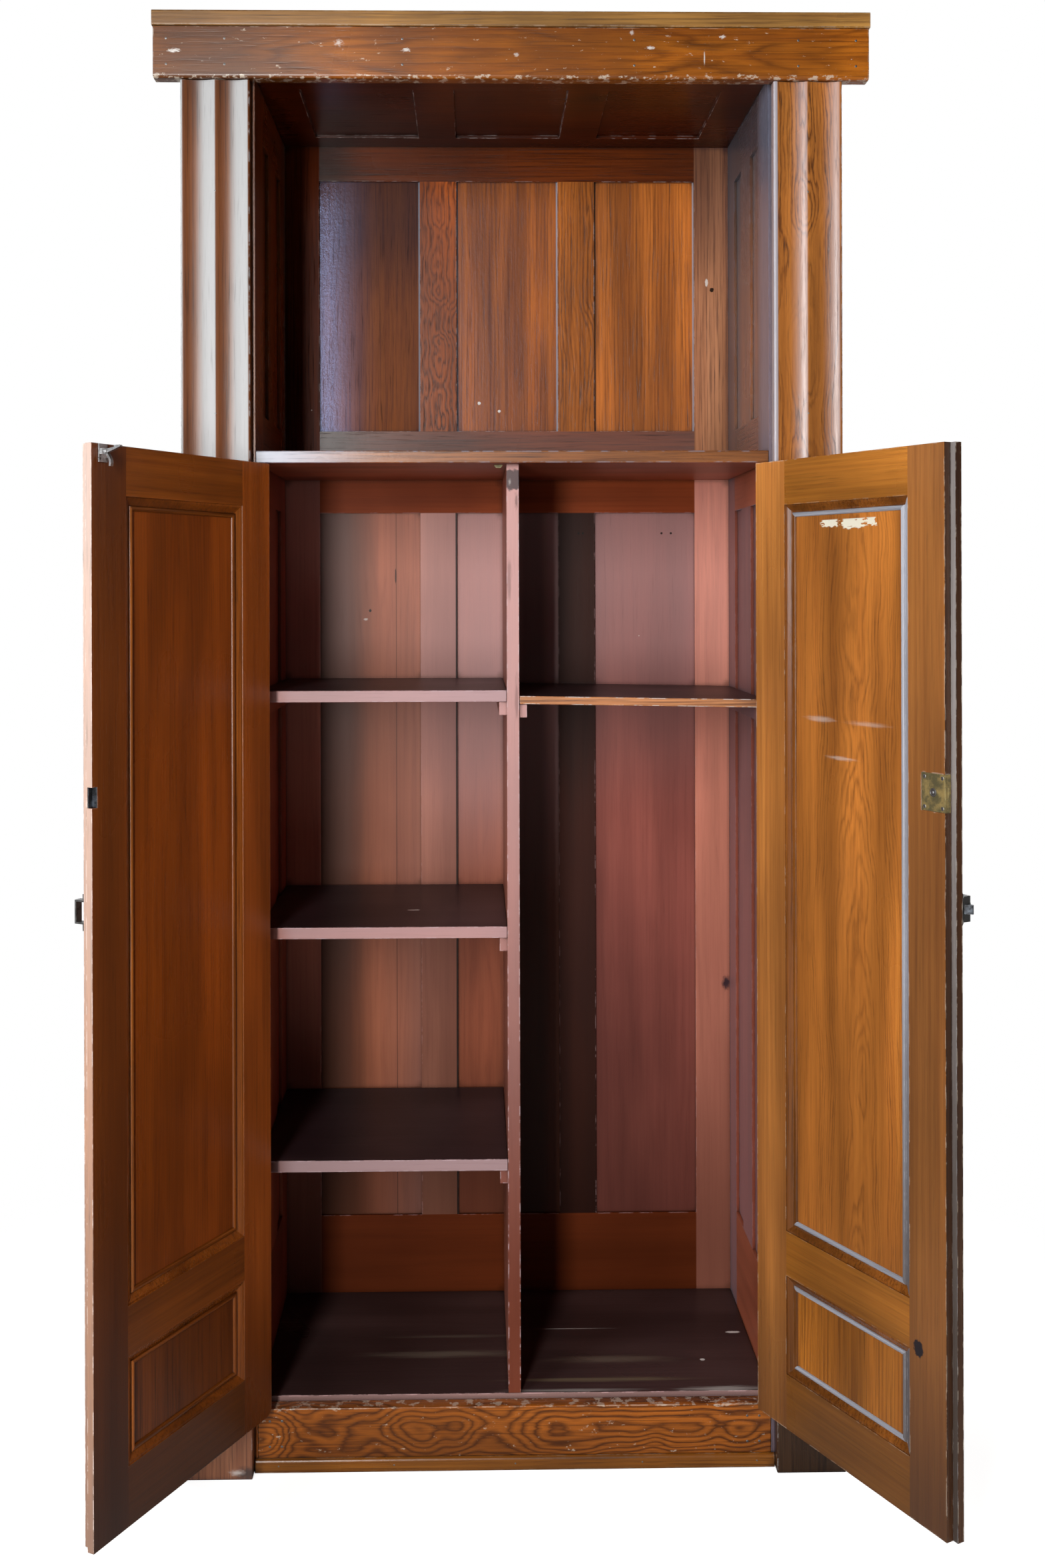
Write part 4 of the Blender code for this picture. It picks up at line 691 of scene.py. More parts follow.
def woodMaterial(name, look, seed):
    material, tree = newMaterial(name)
    shader = tree.nodes["Principled BSDF"]
    coords = objectSpace(tree, look["door"])
    parts = splitOf(tree, coords)
    across, through, along = [parts[axis] for axis in look["axes"]]
    grain = joinOf(tree, across, through, along)
    shift = [seed * part for part in woodSetup["seedShift"]]
    pale, mid, dark, pore = [[part * share for part, share in zip(look[key], look["tone"])]
                             for key in ("pale", "mid", "dark", "pore")]

    def noise(kind, vector=grain, turned=False):
        return noiseOf(tree, vector, shift=shift[::-1] if turned else shift, **woodNoise[kind])

    def cover(below, field, limits, share, above):
        return mixOf(tree, rangeOf(tree, field, *limits, 0.0, share), below, above)

    # Growth rings about a pith line that leans through the board, wanders and swells
    sway, heave = [
        mathOf(tree, "SUBTRACT", noiseOf(tree, grain, (scale, scale, look["figure"]), place), 0.5)
        for scale, place in ((woodSetup["sway"], shift), (woodSetup["heave"], shift[::-1]))]
    pithAcross, pithThrough = look["pith"]
    sideways = addOf(tree, sway, 2 * look["wander"], mathOf(tree, "SUBTRACT", across, pithAcross))
    lean = addOf(tree, along, look["tilt"], mathOf(tree, "SUBTRACT", through, pithThrough))
    radius = lengthOf(tree, sideways, addOf(tree, heave, 2 * look["swell"], lean))
    phase = addOf(tree, noise("stray"), woodSetup["stray"], mathOf(tree, "DIVIDE", radius, look["gap"]))
    phase = addOf(tree, noise("jag"), look["jag"], phase)
    ring = rampOf(tree, mathOf(tree, "FRACT", phase), woodSetup["ring"])
    # No two rings are equally dark, and none is dark all along
    count = timesOf(tree, phase, woodSetup["ringTurn"])
    count = joinOf(tree, count, timesOf(tree, along, woodSetup["lengthTurn"]), 0.0)
    uneven = noiseOf(tree, count, (1.0, 1.0, 1.0), shift)
    ringDepth = timesOf(tree, ring, rangeOf(tree, uneven, *woodShow["uneven"], look["even"], 1.0))

    colour = mixOf(tree, timesOf(tree, ringDepth, look["rings"]), pale, dark)
    stretch = (look["streakWidth"], look["streakWidth"], woodSetup["streakLength"])
    streak = noiseOf(tree, grain, stretch, shift, **woodSetup["streakNoise"])
    colour = cover(colour, streak, woodShow["streak"], look["streak"], mid)
    swing = (1.0 - look["broad"], 1.0 + look["broad"])
    broad = rangeOf(tree, noise("broad", turned=True), *woodShow["broad"], *swing)
    colour = mixOf(tree, 1.0, colour, broad, "MULTIPLY")
    for kind in ("fibre", "bands"):
        if kind in look:
            colour = cover(colour, noise(kind, turned=True), woodShow[kind], look[kind], dark)
    blotch = noise("blotch", coords)
    colour = cover(colour, blotch, woodShow["blotch"], look["blotch"], dark)
    # Darkening ramps, mostly painted shade, and paling ramps, painted light and painted sheen
    for change, overlay in (("fade", pore), ("bloom", look["worn"])):
        for axis, none, full, share in look[change]:
            colour = cover(colour, parts[axis], (none, full), share, overlay)
    if "dust" in look:
        # Painted reflection: a pale colour on the faces turned one way, towards a bright window
        way, none, full, share = look["dust"]
        colour = cover(colour, dotOf(tree, normalOf(tree), way), (none, full), share, look["worn"])
    poreDepth = addOf(tree, ringDepth, *woodSetup["ringPores"])
    poreDepth = timesOf(tree, poreDepth, rangeOf(tree, noise("pores"), *woodShow["pores"]))
    poreDepth = timesOf(tree, poreDepth, look["pores"])
    colour = mixOf(tree, poreDepth, colour, pore)

    # Painted shade darkens the corners and recesses that the occlusion node finds, and bare wood shows in
    # broken patches where the edges are rubbed
    corner = tree.nodes.new("ShaderNodeAmbientOcclusion")
    corner.samples = 4
    corner.inputs["Distance"].default_value = woodSetup["cornerReach"]
    clear = corner.outputs["AO"]
    colour = cover(colour, clear, woodShow["cornerShade"], look["cornerShade"], pore)
    arris = tree.nodes.new("ShaderNodeAttribute")
    arris.attribute_name = "arris"
    edge = rangeOf(tree, edgeOf(tree, look["reach"]), *woodShow["edge"])
    edge = mathOf(tree, "MAXIMUM", edge, arris.outputs["Fac"])
    edge = timesOf(tree, edge, rangeOf(tree, clear, *woodShow["open"]))
    broken = rangeOf(tree, noise("broken", coords), *woodShow["broken"])
    rubbed = timesOf(tree, timesOf(tree, edge, broken), look["wear"])
    colour = mixOf(tree, rubbed, colour, look["worn"])
    if "chips" in look:
        # Flakes are gone along one edge, and a few over the rest of the face
        axis, line, reach, share = look["chips"]
        away = mathOf(tree, "ABSOLUTE", mathOf(tree, "SUBTRACT", parts[axis], line))
        near = rangeOf(tree, away, reach, 0.0)
        flakes = addOf(tree, near, woodSetup["edgePull"], noise("flakes", coords))
        colour = cover(colour, flakes, woodShow["chips"], share, look["worn"])

    # Stray specks of old paint
    spots = tree.nodes.new("ShaderNodeTexVoronoi")
    spots.inputs["Scale"].default_value = woodSetup["speckScale"]
    tree.links.new(coords, spots.inputs["Vector"])
    tint = splitOf(tree, spots.outputs["Color"])
    chosen = mathOf(tree, "LESS_THAN", tint["x"], woodSetup["speckShare"] * look["specks"])
    size = addOf(tree, tint["y"], *woodSetup["speckSize"])
    speck = timesOf(tree, chosen, mathOf(tree, "LESS_THAN", spots.outputs["Distance"], size))
    colour = mixOf(tree, speck, colour, woodSetup["speckColour"])
    colour = addMarks(tree, colour, marks.get(name, []), across, through, along)
    tree.links.new(colour, shader.inputs["Base Color"])

    shares = woodSetup["rough"]
    rough = addOf(tree, blotch, shares["blotch"], look["rough"] - shares["blotch"] / 2)
    rough = addOf(tree, rubbed, shares["rubbed"], rough)
    if "polish" in look:
        # The varnish has kept its shine towards one side only
        axis, dull, bright = look["polish"]
        dulled = rangeOf(tree, parts[axis], dull, bright, woodSetup["dullest"], 0.0)
        rough = mathOf(tree, "ADD", rough, dulled)
    tree.links.new(addOf(tree, poreDepth, shares["pores"], rough), shader.inputs["Roughness"])
    shader.inputs["Specular IOR Level"].default_value = look["gloss"]
    if "glint" in look:
        shader.inputs["Specular Tint"].default_value = (*look["glint"], 1.0)
    if "haze" in look:
        shader.inputs["Sheen Weight"].default_value = look["haze"]
        shader.inputs["Sheen Roughness"].default_value = woodSetup["hazeRough"]
        shader.inputs["Sheen Tint"].default_value = woodSetup["hazeTint"]

    shares = woodSetup["height"]
    height = timesOf(tree, noise("peel", coords), shares["peel"])
    height = addOf(tree, poreDepth, shares["pores"], height)
    height = addOf(tree, ringDepth, shares["rings"], height)
    if "crackle" in look:
        height = addOf(tree, noise("crackle", coords), shares["crackle"] * look["crackle"], height)
    addBump(tree, shader, height, *woodSetup["bump"])
    return material


woods = {}
for index, (name, board) in enumerate(boards.items()):
    woods[name] = woodMaterial(name, board, index + 1)
print("wood finishes made:", len(woods))


# Dressed pieces: a merged copy of a solid, cut at its joints, with its edges eased

dressSetup = {
    "merge": 1e-5,
    "flat": 0.5,             # degrees under which two faces are one
    "arris": 26.0,           # degrees over which an edge is eased
    "bevel": {"segments": 2, "profile": 0.6},
    "crease": 48.0,
}


def pieceOf(bm, name, looks, crease):
    piece = addObject(name, bpy.data.meshes.new(name))
    bm.to_mesh(piece.data)
    bm.free()
    for look in looks:
        piece.data.materials.append(look)
    piece.data.shade_smooth()
    piece.data.set_sharp_from_angle(angle=math.radians(crease))
    return piece


def dress(node, suffix, looks, ease, pick=None, cuts=()):
    bm = bmesh.new()
    bm.from_mesh(nodes[node].data)
    near = dressSetup["merge"]
    bmesh.ops.remove_doubles(bm, verts=bm.verts, dist=near)
    bmesh.ops.dissolve_limit(bm, angle_limit=math.radians(dressSetup["flat"]), verts=bm.verts, edges=bm.edges)
    for point, normal in cuts:
        everything = bm.verts[:] + bm.edges[:] + bm.faces[:]
        bmesh.ops.bisect_plane(bm, geom=everything, dist=near, plane_co=point, plane_no=normal)
    arris = bm.faces.layers.float.new("arris")
    if ease:
        limit = math.radians(dressSetup["arris"])
        arrises = [edge for edge in bm.edges if edge.is_manifold and edge.calc_face_angle() > limit]
        eased = bmesh.ops.bevel(bm, geom=arrises, offset=ease, offset_type="OFFSET", affect="EDGES",
                                clamp_overlap=True, **dressSetup["bevel"])
        for face in eased["faces"]:
            face[arris] = 1.0
    bmesh.ops.recalc_face_normals(bm, faces=bm.faces)
    if pick:
        for face in bm.faces:
            face.material_index = pick(face.calc_center_median(), face.normal)
    piece = pieceOf(bm, f"{node}_{suffix}", looks, dressSetup["crease"])
    weighted = piece.modifiers.new("evenShading", "WEIGHTED_NORMAL")
    weighted.keep_sharp = True
    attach(piece, nodes[node]["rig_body"])
    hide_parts(node)


def dressWood(node, looks, ease=0.0010, pick=None, cuts=()):
    dress(node, "wood", [woods[look] for look in looks], ease, pick, cuts)


shelfLow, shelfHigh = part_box("niche_shelf")
shelfMiddle = (shelfLow.z + shelfHigh.z) / 2
carcassSetup = {
    "groove": 0.0075,        # how far a carcass panel runs into its frame
    "farSide": 0.0195,       # a face further than this from the opening is on a frame's far side
    "frontStrip": 0.002,     # the sides' front edges match the niche this far back
    "panelEase": 0.0006,
    "turned": 0.5,           # a panel's face that points this much one way is its far one
    "rearward": 0.7,         # and so is a frame's or a casing's
    "board": 0.6,            # a shelf's front edge and top point at least this much their way
}


def windowOf(panel, axis):
    low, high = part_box(panel)
    return low[axis] + carcassSetup["groove"], high[axis] - carcassSetup["groove"]


def farFace(way, turned=carcassSetup["turned"]):
    # Picks the second look for the faces that point one way
    def pick(centre, normal):
        return int(normal.dot(Vector(way)) > turned)
    return pick


def levelCuts(heights):
    return [((0, 0, z), (0, 0, 1)) for z in heights]


# Sides: raw outside, niche oak above the shelf and red stain below it

def dressSide(side, sign):
    spanFront = windowOf(f"{side}_side_niche_front_panel", 1)
    spanRear = windowOf(f"{side}_side_niche_rear_panel", 1)
    nicheRise = windowOf(f"{side}_side_niche_front_panel", 2)
    lowRise = windowOf(f"{side}_side_cupboard_front_panel", 2)
    outside = shelfHigh.x + carcassSetup["farSide"]

    def pick(centre, normal):
        if sign * centre.x > outside or normal.y > carcassSetup["rearward"]:
            return 4
        rail = spanFront[0] < centre.y < spanRear[1] and not (
            nicheRise[0] < centre.z < nicheRise[1] or lowRise[0] < centre.z < lowRise[1])
        above = centre.z > shelfMiddle or centre.y < shelfLow.y + carcassSetup["frontStrip"]
        return (0 if above else 2) + (1 if rail else 0)
    cuts = [((0, y, 0), (0, 1, 0)) for y in (spanFront[0], spanRear[1])]
    cuts += levelCuts((*nicheRise, *lowRise, shelfMiddle))
    looks = (f"{side}NicheUp", f"{side}NicheAcross", f"{side}RedUp", "redSideAcross", "rawUp")
    dressWood(f"{side}_side_frame", looks, pick=pick, cuts=cuts)
    for column in ("front", "rear"):
        for room, look in (("niche", "NicheUp"), ("cupboard", "RedUp")):
            dressWood(f"{side}_side_{room}_{column}_panel", (f"{side}{look}", "rawUp"),
                      carcassSetup["panelEase"], farFace((sign, 0, 0)))


def dressBack():
    columns = ("left", "centre", "right")
    spans = [windowOf(f"back_niche_{column}_panel", 0) for column in columns]
    nicheRise = windowOf("back_niche_centre_panel", 2)
    lowRise = windowOf("back_cupboard_centre_panel", 2)
    looks = ("nicheBackUp", "nicheBackAcross", "nicheMuntin", "nicheMuntinRight",
             "redBackUp", "redBackAcross", "redMuntin", "redMuntinRightShaded", "rawUp", "nicheBackLeftShaded")

    def pick(centre, normal):
        if centre.y > shelfHigh.y + carcassSetup["farSide"]:
            return 8
        above = 0 if centre.z > shelfMiddle else 4
        # Outside the panel columns in the niche, the left stile takes its darker copy, painted shadow
        if not spans[0][0] < centre.x < spans[-1][1]:
            return 9 if above == 0 and centre.x < 0 else above
        rise = nicheRise if above == 0 else lowRise
        if not rise[0] < centre.z < rise[1]:
            return above + 1
        return above + (2 if centre.x < 0 else 3)
    cuts = [((x, 0, 0), (1, 0, 0)) for x in (spans[0][0], spans[-1][1])]
    cuts += levelCuts((*nicheRise, *lowRise, shelfMiddle))
    dressWood("back_frame", looks, pick=pick, cuts=cuts)
    for column in columns:
        for room, look in (("niche", "niche"), ("cupboard", "red")):
            dressWood(f"back_{room}_{column}_panel", (f"{look}{column.title()}Panel", "rawUp"),
                      carcassSetup["panelEase"], farFace((0, 1, 0)))


def doorPoint(side, point):
    # A point's place along a door's width from the pin, through its thickness, and up
    turn = doors[side]["hand"] * openTurn
    away = point - doors[side]["pin"]
    along = math.cos(turn) * away.x - math.sin(turn) * away.y
    deep = math.sin(turn) * away.x + math.cos(turn) * away.y
    return doors[side]["hand"] * along, deep, point.z


def doorDepth(side):
    # The way from a door's outer face to its inner one
    turn = doors[side]["hand"] * openTurn
    return Vector((math.sin(turn), math.cos(turn), 0))


def doorWidth(side):
    # The way from a door's pin to its free edge
    turn = doors[side]["hand"] * openTurn
    return Vector((math.cos(turn), -math.sin(turn), 0)) * doors[side]["hand"]


def doorSpot(side, along, deep, z):
    spot = doors[side]["pin"] + doorWidth(side) * along + doorDepth(side) * deep
    return Vector((spot.x, spot.y, z))


doorSetup = {
    "panelShort": 0.0055, "frameEase": 0.0006, "panelEase": 0.0004,
    "edgeStrip": 0.012,      # how near the free edge a face belongs to it
    "stepDeep": 0.020,       # the rebate's step along the free edge lies shallower than this
    "faceSlant": 0.995,      # a face that leans more than this is part of the moulding
    "spare": 0.0005,         # how far past its opening the moulding may reach
    "turned": 0.5, "shaded": -0.1,
}


def doorWindow(side, row):
    # The opening of a door's frame round one of its panels
    places = [doorPoint(side, vert.co) for vert in nodes[f"{side}_door_{row}_panel"].data.vertices]
    spare = doorSetup["panelShort"]
    return [(min(p[axis] for p in places) - spare, max(p[axis] for p in places) + spare) for axis in (0, 2)]


# The bead that closes the foot of each panel moulding: how far it lies in from the opening, and its height
beadSetup = {
    "profile": ((0.0125, -0.0003), (0.0130, 0.0022), (0.0142, 0.0032), (0.0162, 0.0036), (0.0182, 0.0031),
                (0.0196, 0.0018), (0.0202, -0.0003)),
    "faces": {"inner": (0.0210, 1), "outer": (0.0120, -1)},
    "looks": {"inner": ("Mould", "MouldLit", "BeadAcross"), "outer": ("Mould",) * 3},
    "ends": (0.1, 0.9), "crease": 50.0,
}


def makeBead(side, row, span, rise):
    for face, (deep, way) in beadSetup["faces"].items():
        bm = bmesh.new()
        rings = []
        for alongEnd, riseEnd in ((0, 0), (1, 0), (1, 1), (0, 1)):
            ring = []
            for inset, height in beadSetup["profile"]:
                along = span[alongEnd] + (inset if alongEnd == 0 else -inset)
                z = rise[riseEnd] + (inset if riseEnd == 0 else -inset)
                ring.append(bm.verts.new(doorSpot(side, along, deep + way * height, z)))
            rings.append(ring)
        for ring, after in zip(rings, rings[1:] + rings[:1]):
            for step in range(len(ring)):
                following = (step + 1) % len(ring)
                bm.faces.new((ring[step], ring[following], after[following], after[step]))
        bmesh.ops.recalc_face_normals(bm, faces=bm.faces)
        # An inner bead's free-side run takes the lit copy, a painted highlight, its hinge-side run the darker
        # copy, painted shade, and its top and bottom runs their own look, a painted highlight on the right
        # door and painted shade on the left
        near, far = beadSetup["ends"]
        for shape in bm.faces:
            across = (doorPoint(side, shape.calc_center_median())[0] - span[0]) / (span[1] - span[0])
            shape.material_index = 1 if across > far else 2 if across > near else 0
        looks = [woods[f"{side}{look}"] for look in beadSetup["looks"][face]]
        piece = pieceOf(bm, f"{side}_{row}_{face}_bead", looks, beadSetup["crease"])
        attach(piece, f"{side}_door")


def dressDoor(side):
    span, upper = doorWindow(side, "upper")
    lower = doorWindow(side, "lower")[1]
    width, inwards = doorWidth(side), doorDepth(side)
    places = [doorPoint(side, vert.co)[0] for vert in nodes[f"{side}_door_frame"].data.vertices]
    freeEdge = max(places) - doorSetup["edgeStrip"]
    spare, turned = doorSetup["spare"], doorSetup["turned"]

    def within(value, limits):
        return limits[0] - spare < value < limits[1] + spare

    def pick(centre, normal):
        along, deep, z = doorPoint(side, centre)
        shallow = deep < doorSetup["stepDeep"]
        # The rebate's step along the free edge, whose look on the right door is a painted highlight
        if along > freeEdge and shallow and normal.dot(inwards) > turned:
            return 4
        # The free edge's faces: pale with wear and painted light on the left door, dark with painted shade on
        # the right
        if along > freeEdge and normal.dot(width) > turned:
            return 2
        # Moulding faces turned back towards the pin, on a panel's free side, take the lit copy, a painted
        # highlight; the others take the darker copy, painted shade
        slanted = abs(normal.dot(inwards)) < doorSetup["faceSlant"]
        if slanted and within(along, span) and (within(z, upper) or within(z, lower)):
            return 3 if normal.dot(width) > doorSetup["shaded"] or shallow else 5
        return 1 if span[0] < along < span[1] else 0
    cuts = [(doors[side]["pin"] + width * along, width) for along in span]
    looks = [f"{side}{part}" for part in ("Stile", "Rail", "Edge", "Mould", "Step", "MouldLit")]
    dressWood(f"{side}_door_frame", looks, doorSetup["frameEase"], pick, cuts)
    for row, rise in (("upper", upper), ("lower", lower)):
        makeBead(side, row, span, rise)
    dressWood(f"{side}_door_upper_panel", (f"{side}Panel",), doorSetup["panelEase"])
    dressWood(f"{side}_door_lower_panel", (f"{side}LowPanel",), doorSetup["panelEase"])


def boardFace(centre, normal):
    # 0 for a board's front edge, 1 for its top, 2 for the rest
    if normal.y < -carcassSetup["board"]:
        return 0
    return 1 if normal.z > carcassSetup["board"] else 2


def frontEdge(centre, normal):
    return 0 if normal.y < -carcassSetup["board"] else 1


# The looks of each plain piece, how far its edges are eased, and what picks a look for a face
shelfLooks = {"looks": ("shelfFront", "shelfTop", "shelf"), "ease": 0.0014, "pick": boardFace}
plainPieces = {
    "niche_ceiling": {"looks": ("ceiling",)},
    "niche_shelf": {**shelfLooks, "looks": ("nicheShelfFront", "nicheShelf", "shelf")},
    "cupboard_floor": {**shelfLooks, "looks": ("floorFront", "cupboardFloor", "shelf")},
    "divider": {"looks": ("dividerFront", "divider"), "ease": 0.0014, "pick": frontEdge},
    "upper_shelf": shelfLooks,
    "middle_shelf": shelfLooks,
    "lower_shelf": shelfLooks,
    "hat_shelf": {**shelfLooks, "looks": ("hatShelfFront", "shelfTop", "shelf")},
    "base_rail": {"looks": ("baseRail",), "ease": 0.0016},
    "base_shoe": {"looks": ("shoe",)},
}
for side in doors:
    plainPieces[f"{side}_plinth_block"] = {"looks": (f"{side}Plinth",), "ease": 0}
    plainPieces[f"{side}_casing"] = {"looks": (f"{side}Casing", "rawUp"), "ease": 0.0008,
                                     "pick": farFace((0, 1, 0), carcassSetup["rearward"])}
plainPieces["frieze_board"] = {"looks": ("frieze",), "ease": 0.0014}
plainPieces["cornice_cap"] = {"looks": ("cap",)}

dressSide("left", -1)
dressSide("right", 1)
dressBack()
for side in doors:
    dressDoor(side)
for node, spec in plainPieces.items():
    dressWood(node, **spec)
print("wood pieces dressed")


# Metal finishes

metals = {
    "iron": {"bright": (0.16, 0.155, 0.15), "dull": (0.020, 0.018, 0.017), "rub": (0.45, 0.44, 0.43),
             "rough": 0.48, "share": 0.35, "bare": 0.9},
    "steel": {"bright": (0.56, 0.57, 0.58), "dull": (0.16, 0.15, 0.14), "rub": (0.75, 0.76, 0.78),
              "rough": 0.30, "share": 0.45, "bare": 0.85},
    "dimSteel": {"bright": (0.15, 0.17, 0.20), "dull": (0.030, 0.030, 0.032), "rub": (0.36, 0.38, 0.42),
                 "rough": 0.38, "share": 0.50, "bare": 0.85},
    "brass": {"bright": (0.46, 0.34, 0.13), "dull": (0.15, 0.13, 0.065), "rub": (0.72, 0.60, 0.30),
              "rough": 0.38, "share": 0.5, "bare": 0.45},
}
metalSetup = {
    "seedShift": (2.3, 1.9, 0.7), "ease": 0.00025, "bump": (0.25, 0.0004),
    "overlay": {"stretch": (55.0, 55.0, 55.0), "detail": 5.0, "roughness": 0.65},
    "grit": {"stretch": (420.0, 420.0, 420.0), "detail": 3.0},
    "stainSpread": (-0.12, 0.16),      # from where to where about its share the stain gives way
    "edgeReach": 0.0012, "edge": (0.03, 0.25), "rubbed": 0.7,
    "stainShine": -0.25, "dullest": 0.12,
}


def metalMaterial(name, finish, seed):
    material, tree = newMaterial(name)
    shader = tree.nodes["Principled BSDF"]
    coords = objectSpace(tree)
    shift = [seed * part for part in metalSetup["seedShift"]]
    overlay = noiseOf(tree, coords, shift=shift, **metalSetup["overlay"])
    limits = [finish["share"] + part for part in metalSetup["stainSpread"]]
    colour = mixOf(tree, rangeOf(tree, overlay, *limits), finish["dull"], finish["bright"])
    edge = rangeOf(tree, edgeOf(tree, metalSetup["edgeReach"]), *metalSetup["edge"])
    colour = mixOf(tree, timesOf(tree, edge, metalSetup["rubbed"]), colour, finish["rub"])
    tree.links.new(colour, shader.inputs["Base Color"])
    shader.inputs["Metallic"].default_value = finish["bare"]
    rough = addOf(tree, overlay, metalSetup["stainShine"], finish["rough"] + metalSetup["dullest"])
    tree.links.new(rough, shader.inputs["Roughness"])
    grit = noiseOf(tree, coords, shift=shift, **metalSetup["grit"])
    addBump(tree, shader, grit, *metalSetup["bump"])
    return material


metalLooks = {}
for index, (name, finish) in enumerate(metals.items()):
    metalLooks[name] = metalMaterial(name, finish, index + 1)

metalPieces = {
    "iron": ["latch_case", "latch_knob", "latch_keeper"],
    "steel": ["latch_bolt", "lock_strike", "catch_bracket", "catch_lever"],
    "brass": ["lock_case", "lock_bolt", "key_escutcheon", "catch_strike"],
}
for side in doors:
    for row in ("upper", "lower"):
        metalPieces["iron"] += [f"{side}_{row}_hinge_jamb_leaf", f"{side}_{row}_hinge_door_leaf"]
dimPieces = ("latch_bolt", "lock_strike")
for metal, members in metalPieces.items():
    for node in members:
        look = "dimSteel" if node in dimPieces else metal
        dress(node, "metal", [metalLooks[look]], metalSetup["ease"])
print("metal pieces dressed")


# Screws and nails, set out by Geometry Nodes on points that carry a facing and a size

fastenerSetup = {
    "screw": {"sides": 18, "rise": 0.15, "crown": 0.80, "slotWide": 0.24, "slotDeep": 0.11, "slotLong": 2.4,
              "seed": 7},
    "nail": {"sides": 12, "rings": 6, "rise": 0.20, "seed": 3},
}


def fastenerTree(kind):
    tree = bpy.data.node_groups.new(f"{kind}Heads", "GeometryNodeTree")
    add, link = tree.nodes.new, tree.links.new
    tree.interface.new_socket("points", in_out="INPUT", socket_type="NodeSocketGeometry")
    for label, value in fastenerSetup[kind].items():
        number = "NodeSocketInt" if isinstance(value, int) else "NodeSocketFloat"
        tree.interface.new_socket(label, in_out="INPUT", socket_type=number).default_value = value
    tree.interface.new_socket("finish", in_out="INPUT", socket_type="NodeSocketMaterial")
    tree.interface.new_socket("heads", in_out="OUTPUT", socket_type="NodeSocketGeometry")
    given = add("NodeGroupInput").outputs
    move = add("GeometryNodeTransform")
    if kind == "screw":
        # A low cone with a slot cut across its crown
        cone = add("GeometryNodeMeshCone")
        link(given["sides"], cone.inputs["Vertices"])
        link(given["crown"], cone.inputs["Radius Top"])
        link(given["rise"], cone.inputs["Depth"])
        cone.inputs["Radius Bottom"].default_value = 1.0
        bar = add("GeometryNodeMeshCube")
        depth = timesOf(tree, given["slotDeep"], 2.0)
        link(joinOf(tree, given["slotLong"], given["slotWide"], depth), bar.inputs["Size"])
        link(bar.outputs["Mesh"], move.inputs["Geometry"])
        link(joinOf(tree, 0.0, 0.0, given["rise"]), move.inputs["Translation"])
        cut = add("GeometryNodeMeshBoolean")
        cut.operation = "DIFFERENCE"
        link(cone.outputs["Mesh"], cut.inputs["Mesh 1"])
        link(move.outputs[0], cut.inputs["Mesh 2"])
        head = cut.outputs["Mesh"]
    else:
        # A flattened ball, half of it driven home
        ball = add("GeometryNodeMeshUVSphere")
        link(given["sides"], ball.inputs["Segments"])
        link(given["rings"], ball.inputs["Rings"])
        ball.inputs["Radius"].default_value = 1.0
        link(ball.outputs["Mesh"], move.inputs["Geometry"])
        link(joinOf(tree, 1.0, 1.0, given["rise"]), move.inputs["Scale"])
        head = move.outputs[0]
    place = add("GeometryNodeInstanceOnPoints")
    link(given["points"], place.inputs["Points"])
    link(head, place.inputs["Instance"])
    for label, kindOfValue, target in (("facing", "FLOAT_VECTOR", "Rotation"), ("size", "FLOAT", "Scale")):
        carried = add("GeometryNodeInputNamedAttribute")
        carried.data_type = kindOfValue
        carried.inputs["Name"].default_value = label
        link(carried.outputs["Attribute"], place.inputs[target])
    # Each head stops at its own turn
    spin = add("FunctionNodeRandomValue")
    spin.data_type = "FLOAT"
    spin.inputs[3].default_value = math.pi
    link(given["seed"], spin.inputs["Seed"])
    turn = add("GeometryNodeRotateInstances")
    link(place.outputs[0], turn.inputs["Instances"])
    link(joinOf(tree, 0.0, 0.0, spin.outputs[1]), turn.inputs["Rotation"])
    real = add("GeometryNodeRealizeInstances")
    link(turn.outputs[0], real.inputs[0])
    coat = add("GeometryNodeSetMaterial")
    link(real.outputs[0], coat.inputs["Geometry"])
    link(given["finish"], coat.inputs["Material"])
    link(coat.outputs[0], add("NodeGroupOutput").inputs["heads"])
    return tree


fastenerTrees = {kind: fastenerTree(kind) for kind in fastenerSetup}


def fasten(name, body, kind, metal, rows):
    # rows hold a place, the way a head faces, and its radius
    places, facings, radii = zip(*rows)
    mesh = bpy.data.meshes.new(f"{name}Points")
    mesh.from_pydata(places, [], [])
    mesh.attributes.new("facing", "FLOAT_VECTOR", "POINT")
    mesh.attributes.new("size", "FLOAT", "POINT")
    for index, (facing, radius) in enumerate(zip(facings, radii)):
        mesh.attributes["facing"].data[index].vector = facing.to_track_quat("Z", "Y").to_euler()
        mesh.attributes["size"].data[index].value = radius
    piece = addObject(name, mesh)
    modifier = piece.modifiers.new("heads", "NODES")
    modifier.node_group = fastenerTrees[kind]
    given = {**fastenerSetup[kind], "finish": metalLooks[metal]}
    for item in fastenerTrees[kind].interface.items_tree:
        if item.in_out == "INPUT" and item.name in given:
            modifier[item.identifier] = given[item.name]
    depsgraph = bpy.context.evaluated_depsgraph_get()
    piece.data = bpy.data.meshes.new_from_object(piece.evaluated_get(depsgraph), depsgraph=depsgraph)
    piece.modifiers.remove(modifier)
    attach(piece, body)


def middleOf(node):
    low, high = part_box(node)
    return (low + high) / 2


